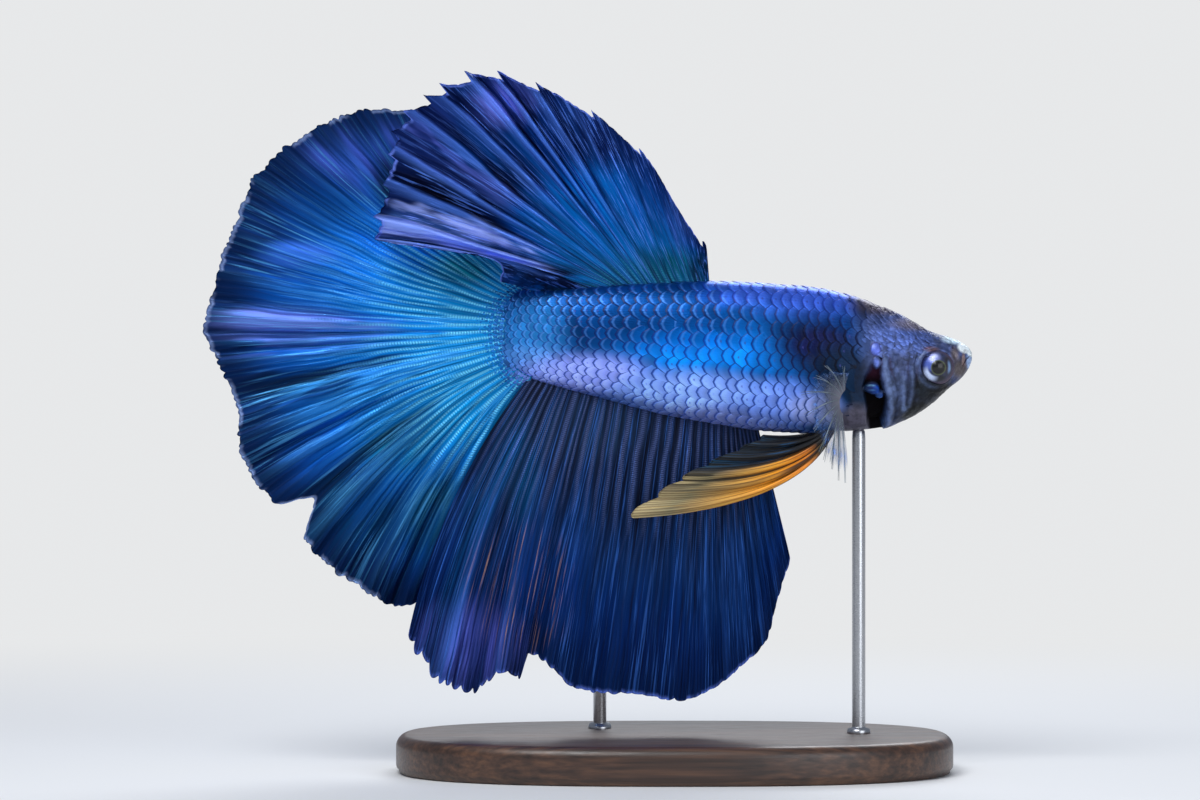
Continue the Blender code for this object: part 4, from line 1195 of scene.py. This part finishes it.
def make_tail_scales(side, word, material):
    """Small scales that run from the body out over the root of the tail fin."""
    u, t = np.linspace(0.0, 1.0, 260), np.linspace(0.0, 0.2, 50)
    middle = folded(*tail_rays(u, t))
    normals = surface_normals(middle)
    normals = normals * np.where(normals[..., 1:2] * side < 0, -1.0, 1.0)
    points = middle + normals * membrane(u, t, *TAIL_MEMBRANE)[..., None] / 2
    surface = Surface(points.transpose(1, 0, 2), normals.transpose(1, 0, 2), t, u)
    chance = np.random.default_rng(12)
    rows = []
    at, ring = 0.004, 0
    while at < 0.135:
        columns = 34 if at < 0.05 else 48
        size = 0.58 - 2.2 * at
        for column in range(columns + 1):
            place = (column + 0.5 * (ring % 2)) / columns
            if 0.004 < place < 0.996 and chance.random() > smoothstep(0.05, 0.13, at):
                rows.append((at, place, -1.9 * size / TAIL_REACH, 0.72 / columns, 0.07 - 0.3 * at))
        at += size / TAIL_REACH
        ring += 1
    ats, places, lengths, spreads, lifts = np.array(rows).T
    places += chance.normal(0, 0.001, len(ats))
    ats += chance.normal(0, 0.0012, len(ats))
    tone = np.clip(chance.normal(0.6, 0.2, len(ats)), 0, 1)
    unwrap = np.column_stack([0.04 + 0.94 * ats / t[-1], 0.02 + 0.96 * places])
    return build_plates(
        f"tail_root_scales_{word}", surface, ats, places, lengths, spreads, lifts, 0.35 + 5.0 * ats, tone,
        unwrap=unwrap, patch=(1.8, 0.95), sink=0.03, material=material,
    )


# ---------------------------------------------------------------- fins
def fin_steps(count):
    """Steps from root to edge, closer together at the edge."""
    t = np.linspace(0.0, 1.0, count)
    return 0.8 * t + 0.2 * (1 - (1 - t) ** 2)


def fin_grid(rays, steps):
    return np.linspace(0.0, 1.0, int(rays * FINE)), fin_steps(int(steps * FINE))


def curved_rays(roots, bends, tips, steps):
    """A ray from each root to its tip, drawn toward its bend on the way."""
    t = steps[None, :, None]
    return (1 - t) ** 2 * roots[:, None] + 2 * t * (1 - t) * bends[:, None] + t ** 2 * tips[:, None]


def teeth(places, u, sharp=2.0):
    """A frayed edge: it climbs to each place and drops at once after it."""
    places = np.asarray(places)
    i = np.clip(np.searchsorted(places, u, side="right") - 1, 0, len(places) - 2)
    return np.clip((u - places[i]) / (places[i + 1] - places[i]), 0, 1) ** sharp


def pleats(places, u):
    """Folds that rise at once after each place and sink slowly toward the next, 0 to 1."""
    part = teeth(places, u, 1.0)
    return (1 - part) ** 1.2 * smoothstep(0.0, 0.16, part)


def membrane(u, t, root_thick, rays, root_fall):
    """A fin's thickness: thick at its root and thin at its edge. Its raised rays fork on the way."""
    one, two = (np.abs(np.sin(math.pi * u * rays * times))[:, None] for times in (1, 2))
    t = t[None, :]
    ridge = one + (two - one) * smoothstep(0.3, 0.45, t)
    thick = 0.12 + root_thick * np.exp(-t / root_fall) + 0.09 * ridge * (1 - 0.6 * t)
    return thick * (1 - 0.45 * smoothstep(0.9, 1.0, t))


def fold_height(sway, share=0.12):
    """How far each place stands out from a fin's broad shape toward the right side, -1 to 1."""
    width = int(len(sway) * share) // 2 * 2 + 1
    kernel = np.hanning(width)
    padded = np.pad(sway, ((width // 2, width // 2), (0, 0)), mode="edge")
    broad = [np.convolve(column, kernel / kernel.sum(), "valid") for column in padded.T]
    return np.clip((np.array(broad).T - sway) / 0.45, -1.0, 1.0)


def place_grid(u, t):
    return np.stack(np.meshgrid(u, t, indexing="ij"), axis=2)


def folded(flat, sway):
    """Places in the upright plane, moved out of it by their sway."""
    return np.stack([flat[..., 0], sway, flat[..., 1]], axis=2)


def build_fin(name, flat, sway, u, t, shape, material):
    thick = membrane(u, t, *shape)
    return thin_solid(name, folded(flat, sway), thick, place_grid(u, t), material, fold_height(sway))


def edge_rays(edge, side_of_body, inset, u):
    """Roots on the body, and the rays to the fin's outline, by the length of its edge."""
    steps = np.linalg.norm(np.diff(np.array(edge)[:, 1:], axis=0), axis=1)
    order = np.concatenate([[0.0], np.cumsum(steps)])
    knots = np.column_stack([order / order[-1], edge])
    root_x, tip_x, tip_z = (spline(knots, u, i) for i in (1, 2, 3))
    roots = np.column_stack([root_x, spline(BODY, root_x, side_of_body) + inset])
    ray = np.column_stack([tip_x, tip_z]) - roots
    return roots, ray, np.linalg.norm(ray, axis=1, keepdims=True)


def make_dorsal(material):
    u, t = fin_grid(480, 90)
    roots, ray, reach = edge_rays(DORSAL_EDGE, BACK, -FIN_INSET, u)
    depth = 0.85 + 0.35 * bell(u - 0.48, 0.16)
    fringe = 0.22 * ragged(u, 70, 3) + 0.08 * wave_noise(u * 150, 0 * u, 3)
    tips = roots + ray + ray / reach * (depth * (teeth(DORSAL_TEETH, u) - 0.25) + fringe)[:, None]
    upward = np.array([0.0, 1.0]) * smoothstep(0.15, 0.8, u)[:, None]
    flat = curved_rays(roots, roots + 0.5 * ray + upward * reach * 0.06, tips, t)
    strength = (0.16 + 1.0 * smoothstep(0.24, 0.48, u)) * (1 + 0.5 * wave_noise(u * 11, 0 * u, 31))
    v, tt = u[:, None], t[None, :]
    shifted = v + 0.022 * wave_noise(v * 7, tt * 2.2, 12) * smoothstep(0.1, 0.5, v)
    sway = -3.0 * smoothstep(0.45, 0.95, v) * tt - 0.9 * tt ** 2
    sway = sway - strength[:, None] * pleats(DORSAL_PLEATS, shifted) * smoothstep(0.02, 0.7, tt)
    sway = sway + 0.2 * wave_noise(v * 40, tt * 1.3, 8) * tt
    return build_fin("dorsal_fin_sheet", flat, sway, u, t, FIN_MEMBRANE, material)


def make_anal(material):
    u, t = fin_grid(440, 90)
    roots, ray, reach = edge_rays(ANAL_EDGE, BELLY, FIN_INSET, u)
    fringe = (0.25 + 0.65 * smoothstep(0.62, 0.78, u)) * ragged(u, 46, 21)
    fringe = fringe + 0.08 * wave_noise(u * 160, 0 * u, 4)
    tips = roots + ray + ray / reach * fringe[:, None]
    v, tt = u[:, None], t[None, :]
    rear = smoothstep(0.55, 1.0, v)
    flat = curved_rays(roots, roots + 0.5 * ray + np.array([-2.5, 1.4]) * rear, tips, t)
    turned = 2 * math.pi * (9 * v + 0.25 * np.sin(5 * v)) + 0.8 * wave_noise(v * 9, tt * 1.6, 13)
    wave = np.sin(turned) + 0.3 * np.sin(2 * turned + 0.9)
    strength = 0.22 + 0.35 * smoothstep(0.55, 0.85, v)
    sway = -2.6 * rear * tt ** 1.2 + strength * wave * tt + 0.14 * wave_noise(v * 46, tt * 1.2, 9) * tt
    return build_fin("anal_fin_sheet", flat, sway, u, t, FIN_MEMBRANE, material)


def pointing(angles):
    """Flat directions by their angles."""
    return np.column_stack([np.cos(angles), np.sin(angles)])


def tail_rays(u, t):
    """The tail fin's rays in the upright plane, and how far each place sways out of it."""
    first, last = TAIL_EDGE[0][0], TAIL_EDGE[-1][0]
    angle = first + (last - first) * u
    lobes = 0.22 * ragged(u, 41, 5) * (1 + 0.8 * wave_noise(u * 16, 0 * u, 7)) + 0.26 * ragged(u, 97, 8)
    lobes = lobes + 0.1 * wave_noise(u * 190, 0 * u, 6) + 0.42 * wave_noise(u * 30, 0 * u, 7)
    reach = spline(TAIL_EDGE, angle) + lobes
    tips = np.array(TAIL_MIDDLE) + reach[:, None] * pointing(np.radians(angle))
    first, last = TAIL_ROOT_ANGLES
    roots = np.array(TAIL_ROOT_MIDDLE) + pointing(np.radians(first + (last - first) * u)) * TAIL_ROOT_REACH
    ray = tips - roots
    length = np.linalg.norm(ray, axis=1, keepdims=True)
    aim = np.arctan2(ray[:, 1], ray[:, 0]) % (2 * math.pi)
    bend = TAIL_BEND + 0.22 * smoothstep(0.86, 1.0, u)
    flat = curved_rays(roots, roots + 0.42 * length * pointing(math.pi + bend * (aim - math.pi)), tips, t)
    v, tt = u[:, None], t[None, :]
    high, low = 1 - smoothstep(0.0, 0.42, v), smoothstep(0.74, 1.0, v)
    wandering = angle[:, None] + 1.6 * wave_noise(v * 8, tt * 1.8, 14)
    fold = sum(
        depth * (bell(wandering - at, width) - 0.5 * bell(wandering - at - 1.9 * width, width))
        for at, width, depth in TAIL_FOLDS
    )
    ripple = 0.15 * wave_noise(v * 46, tt * 1.2, 10)
    return flat, (2.6 * high + 3.4 * low) * tt + fold * smoothstep(0.0, 0.8, tt) + ripple * tt


def make_tail(material):
    u, t = fin_grid(480, 96)
    return build_fin("tail_fin_sheet", *tail_rays(u, t), u, t, TAIL_MEMBRANE, material)


def paired_surface(control, side, u, t):
    """The middle surface of a fin on one side, from its control rays."""
    place = np.linspace(0.0, 1.0, len(control))
    columns = np.column_stack([place, np.reshape(control, (len(control), -1))])
    parts = np.stack([spline(columns, u, i) for i in range(1, 10)], axis=1).reshape(-1, 3, 3)
    middle = curved_rays(*np.moveaxis(parts, 1, 0), t)
    middle[..., 1] *= side
    return middle


def drawn_out(middle, by):
    """The sheet with each place moved out along its ray's last step."""
    return middle + unit(middle[:, -1] - middle[:, -2])[:, None] * by[..., None]


def make_pelvic(side, word, material):
    u, t = fin_grid(120, 110)
    v, tt = u[:, None], t[None, :]
    cut = np.abs(np.sin(math.pi * 5.5 * v))
    stretch = (cut ** 0.6 * (1 - 0.5 * v) - 0.5) * smoothstep(0.6, 1.0, tt)
    middle = drawn_out(paired_surface(PELVIC_RAYS, side, u, t), stretch)
    middle[..., 1] += side * 0.16 * np.sin(2 * math.pi * 5 * v) * smoothstep(0.05, 0.5, tt)
    thick = 0.16 + 0.5 * np.exp(-tt / 0.07) + 0.16 * cut * (1 - 0.7 * tt)
    return thin_solid(f"pelvic_fin_{word}_sheet", middle, thick, place_grid(u, t), material)


def make_pectoral(side, word, web_paint, ray_paint):
    """A clear web, and the fine forked rays that hold it."""
    u, t = fin_grid(90, 50)
    v, tt = u[:, None], t[None, :]
    notch = (1.3 - 0.5 * np.abs(np.sin(math.pi * 10 * v))) * smoothstep(0.55, 1.0, tt)
    middle = drawn_out(paired_surface(PECTORAL_RAYS, side, u, t), -notch)
    thick = np.broadcast_to(0.05 + 0.24 * np.exp(-tt / 0.12), middle.shape[:2])
    web = thin_solid(f"pectoral_fin_{word}_web", middle, thick, place_grid(u, t), web_paint)
    steps = np.linspace(0.0, 1.0, 22)
    line = np.arange(len(steps))
    radius = 0.05 * (1 - steps) ** 0.8 + 0.07 * np.exp(-steps / 0.16) + 0.018
    parts = []
    for ray, fork in np.ndindex(10, 2):
        at = (ray + 0.5) / 10 + (0.014 * fork - 0.007) * smoothstep(0.45, 1.0, steps)
        sheet = paired_surface(PECTORAL_RAYS, side, at, steps * (0.9 + 0.09 * math.sin(ray * 2.3)))
        parts.append(tube_mesh(sheet[line, line], radius, 6))
    return web, build_mesh(f"pectoral_fin_{word}_rays", *joined(parts), ray_paint)


# ---------------------------------------------------------------- eyes
def make_eye(side, word, material):
    """One eyeball: a clear dome over a flat ring, on the axis that points out of the head."""
    centre, (radius, depth, _) = node_box(f"eye_{word}")
    bulge = 0.16
    polar = np.linspace(0.0, math.pi, int(60 * FINE) + 1)[1:-1, None]
    turn = np.linspace(0.0, 2 * math.pi, int(96 * FINE), endpoint=False)[None, :]
    share, out = np.sin(polar), np.cos(polar)
    y = side * (depth * out + bulge * bell(share, 0.42) * (out > 0))
    rings = [radius * share * np.cos(turn), np.broadcast_to(y, (y.size, turn.size)), radius * share * np.sin(turn)]
    ends = centre + side * np.array([[0.0, depth + bulge, 0.0], [0.0, -depth, 0.0]])
    points, faces = closed_rings(np.stack(rings, axis=2) + centre, ends, flip=side > 0)
    return build_mesh(f"eyeball_{word}", points, faces, material)


# ---------------------------------------------------------------- stand, floor, light and camera
def make_base(material):
    """The base: a slab with a rounded top edge, a small foot and the flat it stands on."""
    (x, y, _), (half_x, half_y, half_height) = node_box("stand_base")
    height, edge = 2 * half_height, 1.0
    turns = np.linspace(0.0, 2 * math.pi, int(200 * FINE), endpoint=False)
    round_it = np.column_stack([np.cos(turns), np.sin(turns)])
    outline = np.sign(round_it) * np.abs(round_it) ** 0.8 * (half_x, half_y)
    profile = [(1.0, 0.0), (0.6, 0.0), (0.3, 0.12), (0.22, 0.4), (0.05, 0.55), (0.0, 0.8)]
    for turn in np.linspace(0, math.pi / 2, 9):
        profile.append((edge * (1 - math.cos(turn)), height - edge + edge * math.sin(turn)))
    profile += [(1.8, height), (6.0, height)]
    reach = np.linalg.norm(outline, axis=1, keepdims=True)
    rings = [
        np.column_stack([outline * (1 - inset / reach) + (x, y), np.full(len(outline), z)])
        for inset, z in profile
    ]
    points, faces = closed_rings(np.array(rings), [[x, y, 0.0], [x, y, height]], flip=True)
    return build_mesh("stand_base_slab", points, faces, material)


def make_rod(node, radius, foot, head, material):
    """A slim rod with a small collar where it enters the base."""
    foot, head = np.array(foot, float), np.array(head, float)
    length = np.linalg.norm(head - foot)
    profile = [(0.0, 1.75), (0.55, 1.75), (0.75, 1.6), (0.85, 1.0), (0.9, 1.0)]
    profile += [(length - 0.9, 1.0), (length - 0.3, 0.92), (length, 0.6)]
    along, widths = np.array(profile).T
    path = foot + (head - foot) * along[:, None] / length
    rod = build_mesh(f"{node}_pin", *tube_mesh(path, widths * radius, int(36 * FINE) + 8), material)
    place_piece(rod, "rod", node)


def make_floor():
    """A wide pale floor that turns into the pale surroundings far from the model."""
    size, count = 4000.0, 48
    edge = np.linspace(-1, 1, count)
    spread = np.sign(edge) * np.abs(edge) ** 2.2 * size
    points = np.column_stack([place_grid(spread, spread).reshape(-1, 2), np.zeros(count * count)])
    paint = Paint("floor_paper", Roughness=0.75, Base_Color=PALE)
    apart = add_node(paint.tree, "TexCoord")["Object"].vector("LENGTH")["Value"]
    glow = add_node(paint.tree, "Emission", {"Color": PALE, "Strength": 1.0})[0]
    mix_surfaces(paint.tree.nodes["Material Output"], apart.step(0.05, 0.24), Made(paint.shader)[0], glow)
    build_mesh("floor", points, grid_faces(count, count), paint.material, smooth=False)


def mix_surfaces(output, factor, first, second):
    """Wires two shaders, mixed, to an output."""
    mix = add_node(output.id_data, "MixShader", {0: factor, 1: first, 2: second})
    wire(output, {"Surface": mix[0]})


def area_light(name, place, size, power, colour=(1.0, 1.0, 1.0)):
    """A soft square light turned to the model. Places are in millimetres and power is in watts."""
    lamp = bpy.data.lights.new(name, "AREA")
    lamp.shape = "SQUARE"
    lamp.size = size * MM
    lamp.energy = power
    lamp.color = colour
    obj = link(bpy.data.objects.new(name, lamp))
    obj.location = Vector(place) * MM
    obj.rotation_euler = (Vector(MODEL_MIDDLE) - Vector(place)).to_track_quat("-Z", "Y").to_euler()


def make_light():
    world = bpy.data.worlds.new("studio")
    bpy.context.scene.world = world
    world.use_nodes = True
    tree = world.node_tree
    ambient = tree.nodes["Background"]
    wire(ambient, {"Color": (0.62, 0.7, 0.86, 1.0), "Strength": 0.32})
    seen = add_node(tree, "Background", {"Color": PALE, "Strength": 1.0})[0]
    by_camera = add_node(tree, "LightPath")["Is Camera Ray"]
    mix_surfaces(tree.nodes["World Output"], by_camera, Made(ambient)[0], seen)
    area_light("key_light", (-90, -190, 260), 150, 0.68)
    area_light("front_fill", (170, -240, 90), 180, 0.28, (0.93, 0.96, 1.0))
    area_light("back_light", (40, 230, 210), 180, 0.45, (0.95, 0.97, 1.0))


def make_camera():
    """Square on to the fish's right side, from far enough away to see it almost flat."""
    low, high = CAD_BOX
    camera = bpy.data.cameras.new("camera")
    camera.lens, camera.sensor_width = 135.0, 36.0
    camera.clip_start, camera.clip_end = 0.01, 50.0
    obj = link(bpy.data.objects.new("camera", camera))
    obj.location = (low[0] + high[0]) / 2 + 0.85 * MM, -405.0 * MM, 33.4 * MM
    obj.rotation_euler = math.pi / 2, 0.0, 0.0
    bpy.context.scene.camera = obj


def place_piece(obj, slot, *nodes):
    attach(obj, "root")
    if nodes:
        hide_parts(*nodes)


def make_stand():
    wood, steel = wood_material(), steel_material()
    place_piece(make_base(wood), "base", "stand_base")
    middle, half = node_box("stand_base")
    foot_z = middle[2] + half[2] - 0.3
    (x, _, z), (half_x, _, half_z) = node_box("stand_rod_front")
    radius = half_x * 0.8
    make_rod("stand_rod_front", radius, (x, 0, foot_z), (x, 0, z + half_z + 0.5), steel)
    (x, y, z), (_, half_y, half_z) = node_box("stand_rod_rear")
    foot = x, y + half_y - radius, foot_z
    head = x, y - half_y + radius + 0.1, z + half_z + 0.7
    make_rod("stand_rod_rear", radius, foot, head, steel)


def main():
    flesh = "head", "lower_jaw", "trunk", "tail_stalk", "gill_cover_left", "gill_cover_right"
    place_piece(make_skin(skin_material()), "head", *flesh)
    tail_web, dorsal_web, anal_web = (fin_material(name, look) for name, look in FIN_LOOKS.items())
    place_piece(make_dorsal(dorsal_web), "fin", "dorsal_fin")
    place_piece(make_anal(anal_web), "fin", "anal_fin")
    place_piece(make_tail(tail_web), "tail", "tail_fin")
    plates, pelvic, web, ray, eye = (
        scale_material(), pelvic_material(), web_material(), ray_material(), eye_material()
    )
    for side, word in ((-1, "right"), (1, "left")):
        place_piece(make_scales(side, word, plates), "body")
        place_piece(make_tail_scales(side, word, plates), "body")
        place_piece(make_eye(side, word, eye), "eye", f"eye_{word}")
        place_piece(make_pelvic(side, word, pelvic), "pelvic", f"pelvic_fin_{word}")
        fin, rays = make_pectoral(side, word, web, ray)
        place_piece(fin, "clear", f"pectoral_fin_{word}")
        place_piece(rays, "clear")
    make_stand()
    make_floor()
    make_light()
    make_camera()
    bpy.context.scene.view_settings.view_transform = "Standard"


main()
